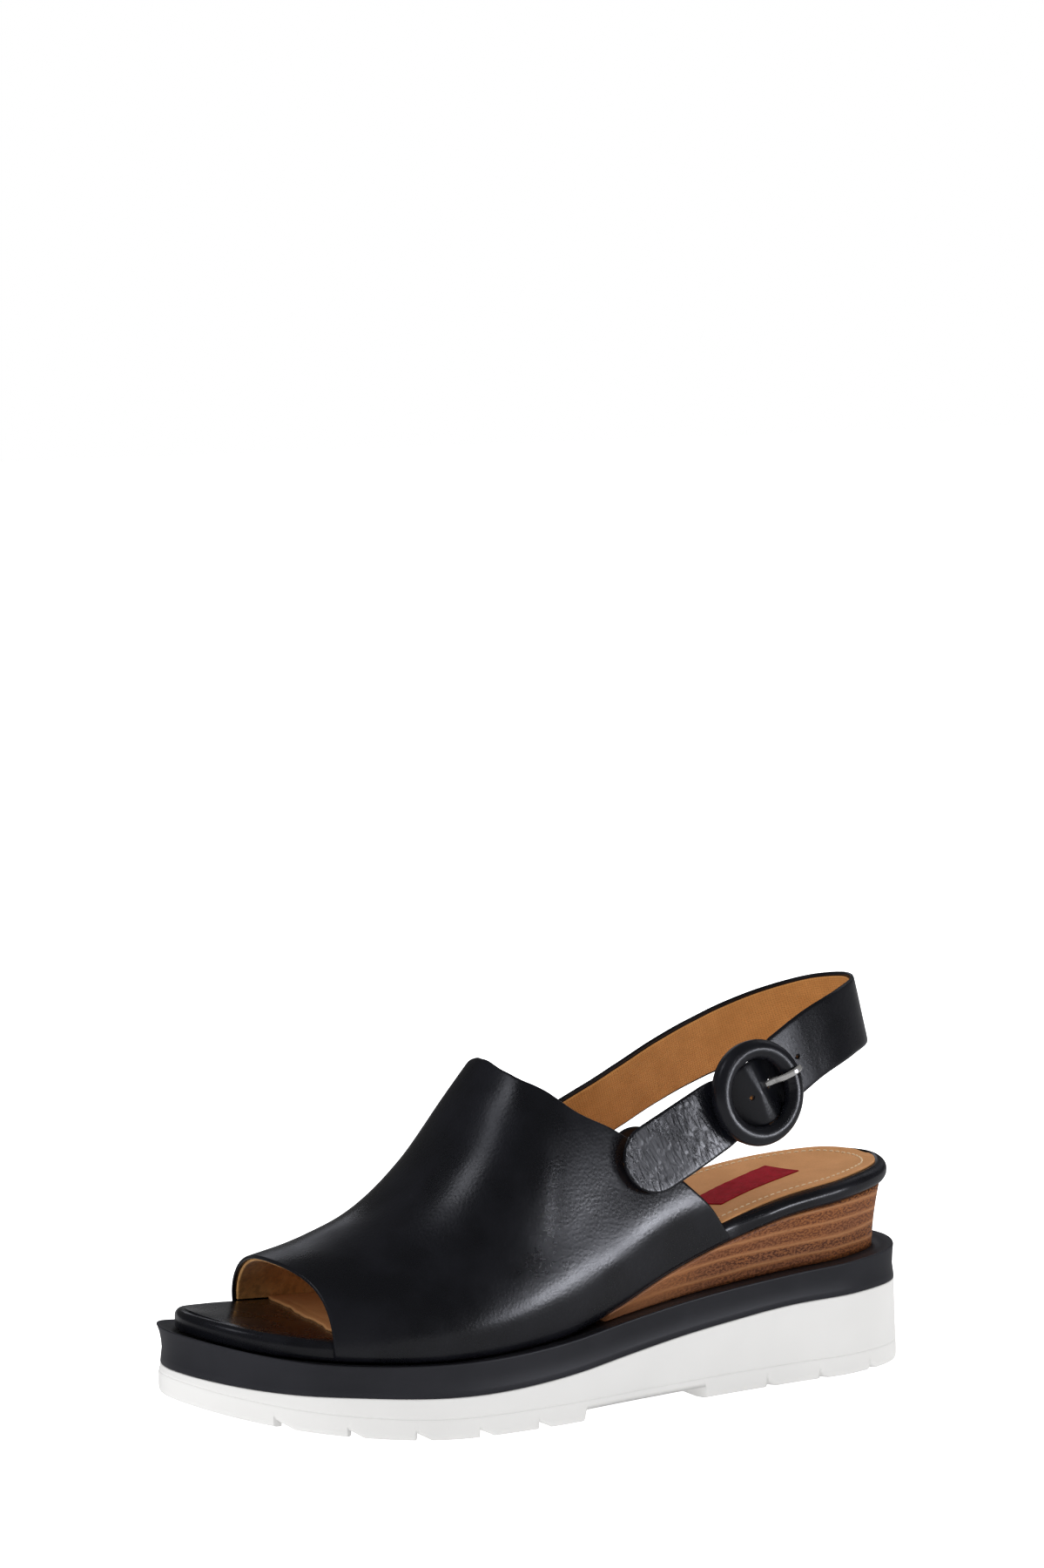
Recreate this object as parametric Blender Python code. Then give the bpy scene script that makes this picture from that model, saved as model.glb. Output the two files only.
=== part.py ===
"""A left wedge sandal: outsole, wrapped platform, wedge, footbed, peep-toe upper and sling strap.

Toe towards -Y, heel towards +Y, the buckle (lateral) side towards +X, the sole's lugs on Z = 0.
Lengths are in millimetres until the mesh is made.
"""

import math

import bmesh
import bpy
import numpy as np
from mathutils import Matrix, Vector

MM = 0.001
GAP = 0.3

# Sole: outline from the toe, round the lateral side to the heel and back by the medial side.
SOLE = [
    (-9, -130), (16, -123.5), (34, -106), (44, -80), (49, -50), (48, -18), (43, 12), (38, 45),
    (35, 75), (33, 100), (22, 121), (2, 128.5), (-18, 121), (-30, 100), (-33, 75), (-32, 45),
    (-33, 12), (-39, -18), (-46, -50), (-46, -80), (-38, -108), (-25, -124),
]
STATIONS = 34
# Heights along the shoe: outsole top, platform top and footbed underside.
Y_LEVELS = [-130, -110, -90, -50, -10, 5, 30, 50, 70, 100, 128]
Z_OUTSOLE = [21, 18, 16, 13.3, 16, 18.1, 21.5, 23.6, 25.5, 26.6, 27.2]
Z_PLATFORM = [33, 28.7, 26, 24, 26.8, 29, 32.2, 34.1, 35.6, 37.4, 38.8]
Z_FOOTBED = [33, 28.7, 26, 24, 27, 31.5, 41.3, 47.5, 52.4, 56.9, 60.3]
TOE_SPRING = 12
LUG_Y = [-108, -88, -67, -46, -25, 66, 87, 108]
LUG_NOTCH = 2.2
ARCH_Y = (-9, 39)
ARCH_GAP = 3.5

# Insets from the outline.
PLATFORM_IN = 1.0
PLATFORM_LEDGE = 12.0
WEDGE_FOOT_IN = 8.0
WEDGE_TOP_IN = 5.2
WEDGE_START = 4.0
FOOTBED_IN = 5.4
HEEL_ROLL = 2.6
FOOTBED_T = 6.6
COVER_T = 1.1
BOARD_T = 2.0
SOCK_IN = 7.3
SOCK_T = 1.0
SOCK_FRONT = (-86.5, -78.0)
LABEL = (15, 38, 0.5)
LABEL_AT = (0.5, 76, 17)

# Upper: a shell over the foot, an arch at every station along the shoe.
VAMP_IN = 3.5
VAMP_T = 1.3
LINING_T = 0.9
RIDGE_Y = [-115, -95, -75, -55, -40, -25, -15, 5, 30, 60]
RIDGE_Z = [49.5, 53.5, 58, 68, 82.5, 103, 115, 121.5, 124, 124]
RIDGE_X = [-2, -2.5, -4]
ARCH_FULLNESS = (0.88, 1.0)
# Where the shell starts at the toe and ends at the topline, by the angle round the arch.
FRONT_ANGLE = [0, 45, 90, 135, 180]
FRONT_Y = [-92, -92, -96.5, -94, -90]
REAR_ANGLE = [0, 11, 19, 30, 38, 47, 55, 62, 73, 90]
REAR_Y = [54, 43.5, 34.5, 22, 11.5, -2, -9.5, -14.5, -18.3, -19.5]

# Sling: path of the strap's middle, from the medial upper round the heel to the lateral upper.
AXIS_Y = 20.0
AXIS_Z = 79.0
NOTCH_R = 15.0
STRAP_W = 22.5
STRAP_PLY = 0.95
NECK_AT = [0, 3, 6, 9, 12, 16]
NECK_HALF = [9.6, 9.3, 8.5, 8.7, 10.0, 11.25]
STRAP_PATH = [
    (-23.4, 9.8, 74.4), (-22.3, 20, 79), (-22.1, 31, 84.2), (-23.6, 43, 89.2), (-26.3, 58, 95.2),
    (-28, 72, 100.2), (-28, 84, 104.2), (-22.5, 101, 110.2), (-11.5, 113.5, 114.6),
    (0, 117.5, 116.2), (11.5, 113.5, 116.3), (21.5, 101.5, 114.3), (27.5, 84.5, 108.8),
    (30.4, 71.5, 102.4), (32, 59.3, 96.6), (33.6, 47, 91), (35, 33.5, 84.8), (36, 20, 78.6),
    (36.7, 11.8, 74.6),
]
STRAP_LEAN = [14, 13, 12, 10, 9, 9, 9, 11, 12, 12, 12, 11, 10, 9, 8, 10, 13, 14, 15]
BAR_POINT = 14
HOLE_R = 1.2
HOLE_PITCH = 8.4

# Buckle: in its own frame, along the strap, along the bar, and out from the foot.
RING_R = 14.0
CORE_R = 1.6
WRAP_R = 3.1
WRAP_T = 0.9
RING_RISE = 5.4
BAR_DROP = 3.2
BAR_R = 1.0
CHAPE_T = 1.2
PRONG_R = 0.75

NAILS = [(0, 66), (13, 80), (-12, 80), (11, 103), (-10, 103)]
NAIL_L = 15.0
RIVETS = {"shank_rivet_front": -12, "shank_rivet_rear": 36}
SHANK = (12.0, 1.2, -24.0, 48.0)

COLOURS = {
    "white_rubber": ((0.80, 0.79, 0.76), 0.55, 0.0),
    "black_wrap": ((0.018, 0.019, 0.022), 0.40, 0.0),
    "foam": ((0.55, 0.53, 0.48), 0.85, 0.0),
    "wood": ((0.23, 0.10, 0.045), 0.50, 0.0),
    "steel": ((0.62, 0.62, 0.63), 0.30, 1.0),
    "board": ((0.42, 0.30, 0.18), 0.80, 0.0),
    "black_leather": ((0.014, 0.015, 0.018), 0.38, 0.0),
    "tan_leather": ((0.46, 0.24, 0.10), 0.55, 0.0),
    "red_fabric": ((0.35, 0.02, 0.03), 0.70, 0.0),
    "silver": ((0.80, 0.80, 0.80), 0.18, 1.0),
}


def smooth(v, xs, ys):
    """A smooth curve through the points (xs, ys), read at v."""
    xs = np.asarray(xs, float)
    ys = np.asarray(ys, float)
    v = np.clip(np.asarray(v, float), xs[0], xs[-1])
    slope = np.gradient(ys, xs)
    i = np.clip(np.searchsorted(xs, v, side="right") - 1, 0, len(xs) - 2)
    h = xs[i + 1] - xs[i]
    t = (v - xs[i]) / h
    start = (2 * t**3 - 3 * t**2 + 1) * ys[i] + (t**3 - 2 * t**2 + t) * h * slope[i]
    end = (3 * t**2 - 2 * t**3) * ys[i + 1] + (t**3 - t**2) * h * slope[i + 1]
    return start + end


def resample(points, count, closed=False):
    """Points at even steps along the smooth curve through the given ones."""
    p = np.asarray(points, float)
    if closed:
        p = np.vstack([p[-2:], p, p[:3]])
    length = np.r_[0, np.cumsum(np.linalg.norm(np.diff(p, axis=0), axis=1))]
    first, last = (length[2], length[-3]) if closed else (0, length[-1])
    s = np.linspace(first, last, count, endpoint=not closed)
    return np.stack([smooth(s, length, p[:, k]) for k in range(p.shape[1])], -1)


OUTLINE = resample(SOLE, 1440, closed=True)
OUTLINE -= (OUTLINE.max(0) + OUTLINE.min(0)) / 2


def inset_outline(inset):
    """The sole's outline moved inward, by one distance or one that depends on y."""
    if callable(inset):
        inset = inset(OUTLINE[:, 1:])
    tangent = np.roll(OUTLINE, -1, 0) - np.roll(OUTLINE, 1, 0)
    normal = np.c_[-tangent[:, 1], tangent[:, 0]]
    return OUTLINE + inset * normal / np.linalg.norm(normal, axis=1)[:, None]


def side_x(y, inset, lateral):
    """Where one side of the inset outline is at y."""
    curve = inset_outline(inset)
    toe, heel = np.argmin(curve[:, 1]), np.argmax(curve[:, 1])
    around = np.roll(curve, -toe, 0)
    turn = (heel - toe) % len(curve)
    side = around[: turn + 1] if lateral else around[turn:][::-1]
    return np.interp(y, side[:, 1], side[:, 0])


def sole_loop(inset, start=None):
    """Both sides of the inset outline at matching stations: lateral side, then medial side."""
    curve = inset_outline(inset)
    low, high = curve[:, 1].min() + 1e-3, curve[:, 1].max() - 1e-3
    a = 0.0 if start is None else math.acos(1 - 2 * (start - low) / (high - low))
    y = low + (high - low) * (1 - np.cos(np.linspace(a, math.pi, STATIONS))) / 2
    return y, side_x(y, inset, True), side_x(y, inset, False)


def z_bottom(y):
    return TOE_SPRING * np.maximum(0, (-50 - np.asarray(y)) / 80) ** 1.7


def z_outsole(y):
    return smooth(y, Y_LEVELS, Z_OUTSOLE)


def z_platform(y):
    return smooth(y, Y_LEVELS, Z_PLATFORM)


def z_footbed(y):
    return np.maximum(smooth(y, Y_LEVELS, Z_FOOTBED), z_platform(y)) + GAP


def square_to_footbed(y):
    """The upward direction square to the footbed at y."""
    slope = float(z_footbed(y + 2) - z_footbed(y - 2)) / 4
    return Vector((0, -slope, 1)).normalized()


def material(slot):
    found = bpy.data.materials.get(slot)
    if found:
        return found
    colour, rough, metal = COLOURS[slot]
    made = bpy.data.materials.new(slot)
    made.use_nodes = True
    shader = made.node_tree.nodes["Principled BSDF"]
    shader.inputs["Base Color"].default_value = (*colour, 1)
    shader.inputs["Roughness"].default_value = rough
    shader.inputs["Metallic"].default_value = metal
    return made


def add_mesh(name, points, faces, slot, round_faces=True):
    """One closed body, its faces turned outward, in metres."""
    mesh = bpy.data.meshes.new(name)
    mesh.from_pydata([tuple(float(c) * MM for c in p) for p in points], [], faces)
    shape = bmesh.new()
    shape.from_mesh(mesh)
    bmesh.ops.remove_doubles(shape, verts=shape.verts, dist=1e-7)
    bmesh.ops.dissolve_degenerate(shape, edges=shape.edges, dist=1e-7)
    bmesh.ops.recalc_face_normals(shape, faces=shape.faces)
    for face in shape.faces:
        face.smooth = round_faces
    shape.to_mesh(mesh)
    shape.free()
    mesh.materials.append(material(slot))
    made = bpy.data.objects.new(name, mesh)
    bpy.context.scene.collection.objects.link(made)
    return made


def layer(name, levels, slot, start=None, loop=False):
    """A sole layer: levels of (inset, height function) from the underside to the top."""
    points, faces = [], []
    ring_length = 2 * STATIONS
    for inset, height in levels:
        y, lateral, medial = sole_loop(inset, start)
        z = height(y)
        points += list(zip(lateral, y, z))
        points += list(zip(medial[::-1], y[::-1], z[::-1]))
    rings = len(levels)
    for k in range(rings if loop else rings - 1):
        a, b = k * ring_length, ((k + 1) % rings) * ring_length
        for i in range(ring_length):
            j = (i + 1) % ring_length
            faces.append((a + i, a + j, b + j, b + i))
    if not loop:
        top = (rings - 1) * ring_length
        for i in range(STATIONS - 1):
            other = ring_length - 1 - i
            faces.append((i, other, other - 1, i + 1))
            faces.append((top + i, top + i + 1, top + other - 1, top + other))
    return add_mesh(name, points, faces, slot)


def sheet(name, outer, inner, slot):
    """A closed sheet between two matching grids of points."""
    rows, cols = outer.shape[:2]
    points = np.vstack([outer.reshape(-1, 3), inner.reshape(-1, 3)])
    size = rows * cols
    faces = []
    for i in range(rows - 1):
        for j in range(cols - 1):
            a = i * cols + j
            faces.append((a, a + 1, a + cols + 1, a + cols))
            faces.append((size + a, size + a + cols, size + a + cols + 1, size + a + 1))
    border = [j for j in range(cols)]
    border += [i * cols + cols - 1 for i in range(1, rows)]
    border += [(rows - 1) * cols + j for j in range(cols - 2, -1, -1)]
    border += [i * cols for i in range(rows - 2, 0, -1)]
    for k, a in enumerate(border):
        b = border[(k + 1) % len(border)]
        faces.append((a, b, size + b, size + a))
    return add_mesh(name, points, faces, slot)


def tube(name, path, radius, slot, sides=12, closed=False):
    """A round bar along a path; radius may change along it."""
    path = [Vector(p) for p in path]
    radii = [float(r) for r in np.broadcast_to(radius, len(path))]
    count = len(path)
    points, faces = [], []
    side_way = None
    for i, p in enumerate(path):
        before = path[(i - 1) % count] if closed or i else p
        after = path[(i + 1) % count] if closed or i < count - 1 else p
        along = (after - before).normalized()
        if side_way is None:
            side_way = along.orthogonal().normalized()
        side_way = (side_way - along * side_way.dot(along)).normalized()
        up = along.cross(side_way)
        for k in range(sides):
            turn = 2 * math.pi * k / sides
            points.append(p + radii[i] * (math.cos(turn) * side_way + math.sin(turn) * up))
    for i in range(count if closed else count - 1):
        a, b = i * sides, ((i + 1) % count) * sides
        for k in range(sides):
            j = (k + 1) % sides
            faces.append((a + k, a + j, b + j, b + k))
    if not closed:
        faces.append(tuple(range(sides)))
        faces.append(tuple(range((count - 1) * sides, count * sides)))
    return add_mesh(name, points, faces, slot)


def revolve(name, profile, base, axis, slot, sides=16):
    """A turned piece: profile of (radius, height) points from axis to axis."""
    axis = Vector(axis).normalized()
    across = axis.orthogonal().normalized()
    up = axis.cross(across)
    base = Vector(base)
    points, faces = [base + axis * profile[0][1]], []
    for radius, height in profile[1:-1]:
        for k in range(sides):
            turn = 2 * math.pi * k / sides
            way = math.cos(turn) * across + math.sin(turn) * up
            points.append(base + axis * height + radius * way)
    points.append(base + axis * profile[-1][1])
    rings = len(profile) - 2
    for k in range(sides):
        j = (k + 1) % sides
        faces.append((0, 1 + k, 1 + j))
        last = 1 + (rings - 1) * sides
        faces.append((len(points) - 1, last + j, last + k))
        for r in range(rings - 1):
            a = 1 + r * sides
            faces.append((a + k, a + sides + k, a + sides + j, a + j))
    return add_mesh(name, points, faces, slot, round_faces=False)


def carve(target, cutters, operation="DIFFERENCE"):
    """Cut the pieces in cutters out of target, or join them to it, and drop the cutters."""
    for cutter in cutters:
        step = target.modifiers.new("cut", "BOOLEAN")
        step.object = cutter
        step.operation = operation
        step.solver = "EXACT"
        bpy.context.view_layer.update()
        graph = bpy.context.evaluated_depsgraph_get()
        done = bpy.data.meshes.new_from_object(target.evaluated_get(graph))
        target.modifiers.clear()
        old = target.data
        target.data = done
        done.name = target.name
        bpy.data.meshes.remove(old)
        bpy.data.objects.remove(cutter)


def box(centre, size, turn=None):
    """A block to cut with, its axes turned by a 3x3 matrix."""
    turn = turn or Matrix.Identity(3)
    points = []
    for x in (-0.5, 0.5):
        for y in (-0.5, 0.5):
            for z in (-0.5, 0.5):
                offset = Vector((x * size[0], y * size[1], z * size[2]))
                points.append(Vector(centre) + turn @ offset)
    faces = [(0, 1, 3, 2), (4, 6, 7, 5), (0, 4, 5, 1), (2, 3, 7, 6), (0, 2, 6, 4), (1, 5, 7, 3)]
    return add_mesh("cutter", points, faces, "steel", round_faces=False)


# The upper.


def rear_y(angle):
    """The topline, the same on both sides."""
    degrees = np.degrees(np.asarray(angle))
    return smooth(np.minimum(degrees, 180 - degrees), REAR_ANGLE, REAR_Y)


def front_y(angle):
    return smooth(np.degrees(angle), FRONT_ANGLE, FRONT_Y)


def shell_point(y, angle):
    """The outside of the upper: an arch from the lateral edge (0) over the ridge to the medial."""
    lateral = side_x(y, VAMP_IN, True)
    medial = side_x(y, VAMP_IN, False)
    foot = z_footbed(y)
    ridge_z = smooth(y, RIDGE_Y, RIDGE_Z)
    ridge_x = smooth(y, [-110, -50, 60], RIDGE_X)
    power = smooth(y, [-110, 0], ARCH_FULLNESS)
    c, s = np.cos(angle), np.sin(angle)
    reach = np.where(c >= 0, lateral - ridge_x, ridge_x - medial)
    x = ridge_x + np.sign(c) * reach * np.abs(c) ** power
    return np.stack([x, y + 0 * x, foot + (ridge_z - foot) * s], -1)


def shell_normal(y, angle):
    e = 0.02
    inside = np.clip(angle, e, math.pi - e)
    along = shell_point(y + 0.5, inside) - shell_point(y - 0.5, inside)
    round_it = shell_point(y, inside + e) - shell_point(y, inside - e)
    normal = np.cross(along, round_it)
    return normal / np.linalg.norm(normal, axis=-1)[..., None]


def shell_grid(rows, cols, depth, lift=0.0, trim=0.0):
    """Points of the upper, set in from its outside by depth, from lift above the footbed's foot."""
    t = np.linspace(0, 1, rows)[:, None]
    u = np.linspace(0, 1, cols)[None, :]
    angle = math.pi * u + 0 * t
    for _ in range(8):
        y = (front_y(angle) + trim) * (1 - t) + (rear_y(angle) - trim) * t
        first = np.arcsin(lift / (smooth(y, RIDGE_Y, RIDGE_Z) - z_footbed(y)))
        angle = first + (math.pi - 2 * first) * u
    return shell_point(y, angle) - depth * shell_normal(y, angle)


def side_point(y, z, lateral, depth):
    """The point of the upper at this y and height, set in by depth."""
    foot = float(z_footbed(y))
    rise = (z - foot) / (float(smooth(y, RIDGE_Y, RIDGE_Z)) - foot)
    angle = math.asin(min(1.0, max(0.0, rise)))
    angle = angle if lateral else math.pi - angle
    y = np.array(float(y))
    return shell_point(y, np.array(angle)) - depth * shell_normal(y, np.array(angle))


# The sling strap.


def strap_frames(count, first=0, last=None):
    """Centres and the along, width and outward directions down the strap."""
    last = len(STRAP_PATH) - 1 if last is None else last
    p = np.asarray(STRAP_PATH, float)
    length = np.r_[0, np.cumsum(np.linalg.norm(np.diff(p, axis=0), axis=1))]
    s = np.linspace(length[first], length[last], count)

    def place(v):
        return np.stack([smooth(v, length, p[:, k]) for k in range(3)], -1)

    along = place(np.minimum(s + 0.5, length[-1])) - place(np.maximum(s - 0.5, 0))
    along /= np.linalg.norm(along, axis=1)[:, None]
    up = np.array([0, 0, 1.0]) - along * along[:, 2:3]
    up /= np.linalg.norm(up, axis=1)[:, None]
    out = np.cross(up, along)
    lean = np.radians(smooth(s, length, STRAP_LEAN))[:, None]
    width = np.cos(lean) * up - np.sin(lean) * out
    outward = np.cos(lean) * out + np.sin(lean) * up
    return s, length[BAR_POINT], place(s), along, width, outward


def strap_hump(distance, across=0.0):
    """How far the strap rises where it passes over the buckle's bar; its edges rise less."""
    t = np.clip((np.hypot(distance, 0.6 * across) - 3.0) / 9.0, 0, 1)
    rise = RING_RISE - BAR_DROP + BAR_R + CHAPE_T + 2 * GAP + STRAP_PLY
    return rise * np.cos(t * math.pi / 2) ** 2


def strap_grid(depth, count=84, across=9):
    """Points on the strap at one depth through it, with both ends rounded."""
    s, bar, centre, along, width, outward = strap_frames(count)
    half = smooth(np.abs(s - bar), NECK_AT, NECK_HALF)
    end = np.minimum(s - s[0], s[-1] - s) + 0.4
    half = half * np.sqrt(np.clip(1 - (np.maximum(0, half - end) / half) ** 2, 0.02, 1))
    sideways = np.linspace(-1, 1, across)[None, :] * half[:, None]
    rise = strap_hump((s - bar)[:, None], sideways) + depth
    middle = centre[:, None] + sideways[..., None] * width[:, None]
    return middle + rise[..., None] * outward[:, None]


def buckle_frame_axes():
    """The buckle's origin and its along-strap, along-bar and outward directions."""
    s, bar, centre, along, width, outward = strap_frames(400)
    i = int(np.argmin(np.abs(s - bar)))
    to_heel = Vector(-along[i])
    out = Vector(outward[i])
    bar_way = Vector(width[i])
    origin = Vector(centre[i]) + RING_RISE * out
    return origin, to_heel, bar_way, out


def buckle_bar():
    """A point on the bar that the ring tilts and the prong turns on, in metres."""
    origin, to_heel, bar_way, out = buckle_frame_axes()
    return (origin - BAR_DROP * out) * MM


def make_sole():
    outsole = layer(
        "outsole",
        [
            (2.2, z_bottom),
            (0.6, lambda y: z_bottom(y) + 0.8),
            (0.0, lambda y: z_bottom(y) + 4),
            (0.5, z_outsole),
        ],
        "white_rubber",
    )
    start, end = ARCH_Y
    cutters = [box((0, (start + end) / 2, 0), (120, end - start, 2 * ARCH_GAP))]
    for y in LUG_Y:
        z = float(z_bottom(y))
        turn = Matrix.Rotation(math.radians(45), 3, "X")
        cutters.append(box((0, y, z - 0.6), (120, LUG_NOTCH * 1.6, LUG_NOTCH * 1.6), turn))
    carve(outsole, cutters)

    def low(y):
        return z_outsole(y) + GAP

    def high(y):
        return z_platform(y)

    def concave(y):
        return (low(y) + high(y)) / 2

    layer(
        "platform_wrap",
        [
            (PLATFORM_LEDGE, low),
            (PLATFORM_IN - 0.4, low),
            (PLATFORM_IN + 0.5, concave),
            (PLATFORM_IN, high),
            (PLATFORM_LEDGE, high),
            (PLATFORM_LEDGE, lambda y: high(y) - 1.0),
            (PLATFORM_IN + 1.6, lambda y: high(y) - 1.0),
            (PLATFORM_IN + 1.6, lambda y: low(y) + 1.0),
            (PLATFORM_LEDGE, lambda y: low(y) + 1.0),
        ],
        "black_wrap",
        loop=True,
    )
    core_in = PLATFORM_IN + 1.6 + GAP
    layer(
        "platform_core",
        [(core_in, lambda y: low(y) + 1 + GAP), (core_in, lambda y: high(y) - 1 - GAP)],
        "foam",
    )
    return layer(
        "wedge",
        [(WEDGE_FOOT_IN, lambda y: high(y) + GAP), (WEDGE_TOP_IN, lambda y: z_footbed(y) - GAP)],
        "wood",
        start=WEDGE_START,
    )


def make_footbed(wedge):
    inner = FOOTBED_IN + COVER_T

    def top(y):
        return z_footbed(y) + FOOTBED_T

    def roll(share):
        return lambda y: FOOTBED_IN - share * HEEL_ROLL * smooth(y, [55, 61, 68], [0, 0.5, 1])

    cover = layer(
        "footbed_cover",
        [
            (inner, lambda y: top(y) - COVER_T),
            (inner, z_footbed),
            (FOOTBED_IN, z_footbed),
            (roll(0.8), lambda y: z_footbed(y) + 1.6),
            (roll(1.0), lambda y: top(y) - 2.6),
            (lambda y: roll(0.6)(y) + 0.5, lambda y: top(y) - 0.8),
            (FOOTBED_IN + 1.8, top),
        ],
        "black_leather",
    )
    board_top = BOARD_T
    board = layer(
        "insole_board",
        [(inner + GAP, z_footbed), (inner + GAP, lambda y: z_footbed(y) + board_top)],
        "board",
    )
    foam = layer(
        "footbed_foam",
        [
            (inner + GAP, lambda y: z_footbed(y) + board_top + GAP),
            (inner + GAP, lambda y: top(y) - COVER_T - GAP),
        ],
        "foam",
    )
    width, thick, first, last = SHANK

    def strip(name, margin):
        y = np.linspace(first - margin, last + margin, 15)
        x = np.linspace(-width / 2 - margin, width / 2 + margin, 2)
        rest = board_top + 2 * GAP
        grid = np.array([[(a, b, float(z_footbed(b)) + rest) for a in x] for b in y])
        high = grid + [0, 0, thick + margin]
        return sheet(name, high, grid - [0, 0, margin], "steel")

    shank = strip("shank", 0.0)
    carve(foam, [strip("cutter", GAP)])
    for name, y in RIVETS.items():
        base = float(z_footbed(y))
        high = board_top + 3 * GAP + thick
        way = square_to_footbed(y)

        def rivet(label, grow):
            profile = [
                (0, 0.4 - grow), (2.6 + grow, 0.4 - grow), (2.6 + grow, 1.2 + grow),
                (1.3 + grow, 1.2 + grow), (1.3 + grow, high), (1.3 + grow, high + 0.7 + grow),
                (0, high + 0.7 + grow),
            ]
            if not grow:
                profile[4] = (1.3, high + GAP)
                profile[5] = (2.2, high + GAP)
                profile.insert(6, (2.2, high + GAP + 0.5))
                profile[7] = (0, high + GAP + 0.5)
            return revolve(label, profile, (0, y, base), way, "steel")

        rivet(name, 0.0)
        carve(board, [rivet("cutter", GAP)])
        carve(shank, [rivet("cutter", GAP)])
        clear = [(0, 0), (2.7, 0), (2.7, high + 1.3), (0, high + 1.3)]
        carve(foam, [revolve("cutter", clear, (0, y, base), way, "steel")])
    for index, (x, y) in enumerate(NAILS, 1):
        way = square_to_footbed(y)
        base = Vector((x, y, float(z_footbed(y)) + board_top)) - 0.3 * way

        def nail(label, grow):
            profile = [
                (0, grow and 1.0), (2.1 + grow, grow and 1.0), (2.1 + grow, -0.9 - grow),
                (0.9 + grow, -0.9 - grow), (0.9 + grow, 1.5 - NAIL_L), (0, -NAIL_L - grow),
            ]
            return revolve(label, profile, base, way, "steel", sides=12)

        nail(f"heel_nail_{index}", 0.0)
        carve(board, [nail("cutter", GAP)])
        carve(wedge, [nail("cutter", GAP)])
    make_sock(top)
    return cover


def make_sock(top):
    """The sock on the footbed, with its raw front edge slanting across the ball."""
    rows, across = 36, 5
    low, high = SOCK_FRONT
    heel = inset_outline(SOCK_IN)[:, 1].max() - 0.05
    t = 1 - np.cos(np.linspace(0.35, math.pi, rows))
    t = (t - t[0]) / (t[-1] - t[0])
    grid = np.zeros((rows, across, 3))
    for i in range(rows):
        for j, w in enumerate(np.linspace(-1, 1, across)):
            front = (low + high) / 2 + w * (low - high) / 2
            y = front + t[i] * (heel - front)
            medial, lateral = side_x(y, SOCK_IN, False), side_x(y, SOCK_IN, True)
            x = (medial + lateral) / 2 + w * (lateral - medial) / 2
            grid[i, j] = (x, y, float(top(y)) + 0.5)
    sheet("sock_lining", grid + [0, 0, SOCK_T], grid, "tan_leather")
    width, length, thick = LABEL
    x, y, turn = LABEL_AT
    c, n = math.cos(math.radians(turn)), math.sin(math.radians(turn))
    rest = []
    for v in np.linspace(-length / 2, length / 2, 6):
        ends = [(x + u * c - v * n, y + u * n + v * c) for u in (-width / 2, width / 2)]
        rest.append([(a, b, float(top(b)) + 0.5 + 1.5 * GAP + SOCK_T) for a, b in ends])
    rest = np.array(rest)
    sheet("sock_label", rest + [0, 0, thick], rest, "red_fabric")


def make_upper():
    sheet("vamp", shell_grid(22, 31, 0.0), shell_grid(22, 31, VAMP_T), "black_leather")
    lift = FOOTBED_T + 6 * GAP + SOCK_T
    depth = VAMP_T + 0.5
    near = shell_grid(20, 27, depth, lift, 1.5)
    far = shell_grid(20, 27, depth + LINING_T, lift, 1.5)
    lining = sheet("vamp_lining", near, far, "tan_leather")
    notch = [(0, -60), (NOTCH_R, -60), (NOTCH_R, 60), (0, 60)]
    carve(lining, [revolve("cutter", notch, (0, AXIS_Y, AXIS_Z), (1, 0, 0), "steel", sides=32)])


def make_sling():
    step = (STRAP_PLY + GAP) / 2
    outer = strap_grid(step + STRAP_PLY / 2)
    inner = strap_grid(step - STRAP_PLY / 2)
    strap = sheet("sling_strap", outer, inner, "black_leather")
    near = strap_grid(-step + STRAP_PLY / 2)
    far = strap_grid(-step - STRAP_PLY / 2)
    lining = sheet("sling_lining", near, far, "tan_leather")
    s, bar, centre, along, width, outward = strap_frames(400)
    origin, to_heel, bar_way, out = buckle_frame_axes()
    turn = Matrix((to_heel, bar_way, out)).transposed()
    for step in (-1, 1, 2):
        i = int(np.argmin(np.abs(s - (bar - 5.2 - HOLE_PITCH * step))))
        for ply in (strap, lining):
            hole = [(0, -9), (HOLE_R, -9), (HOLE_R, 9), (0, 9)]
            cutter = revolve("cutter", hole, centre[i] + 3 * outward[i], outward[i], "steel", sides=10)
            carve(ply, [cutter])
    for ply in (strap, lining):
        slot = box(origin + 5.6 * to_heel + 0.6 * out, (7.6, 3.0, 12), turn)
        carve(ply, [slot])


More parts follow.
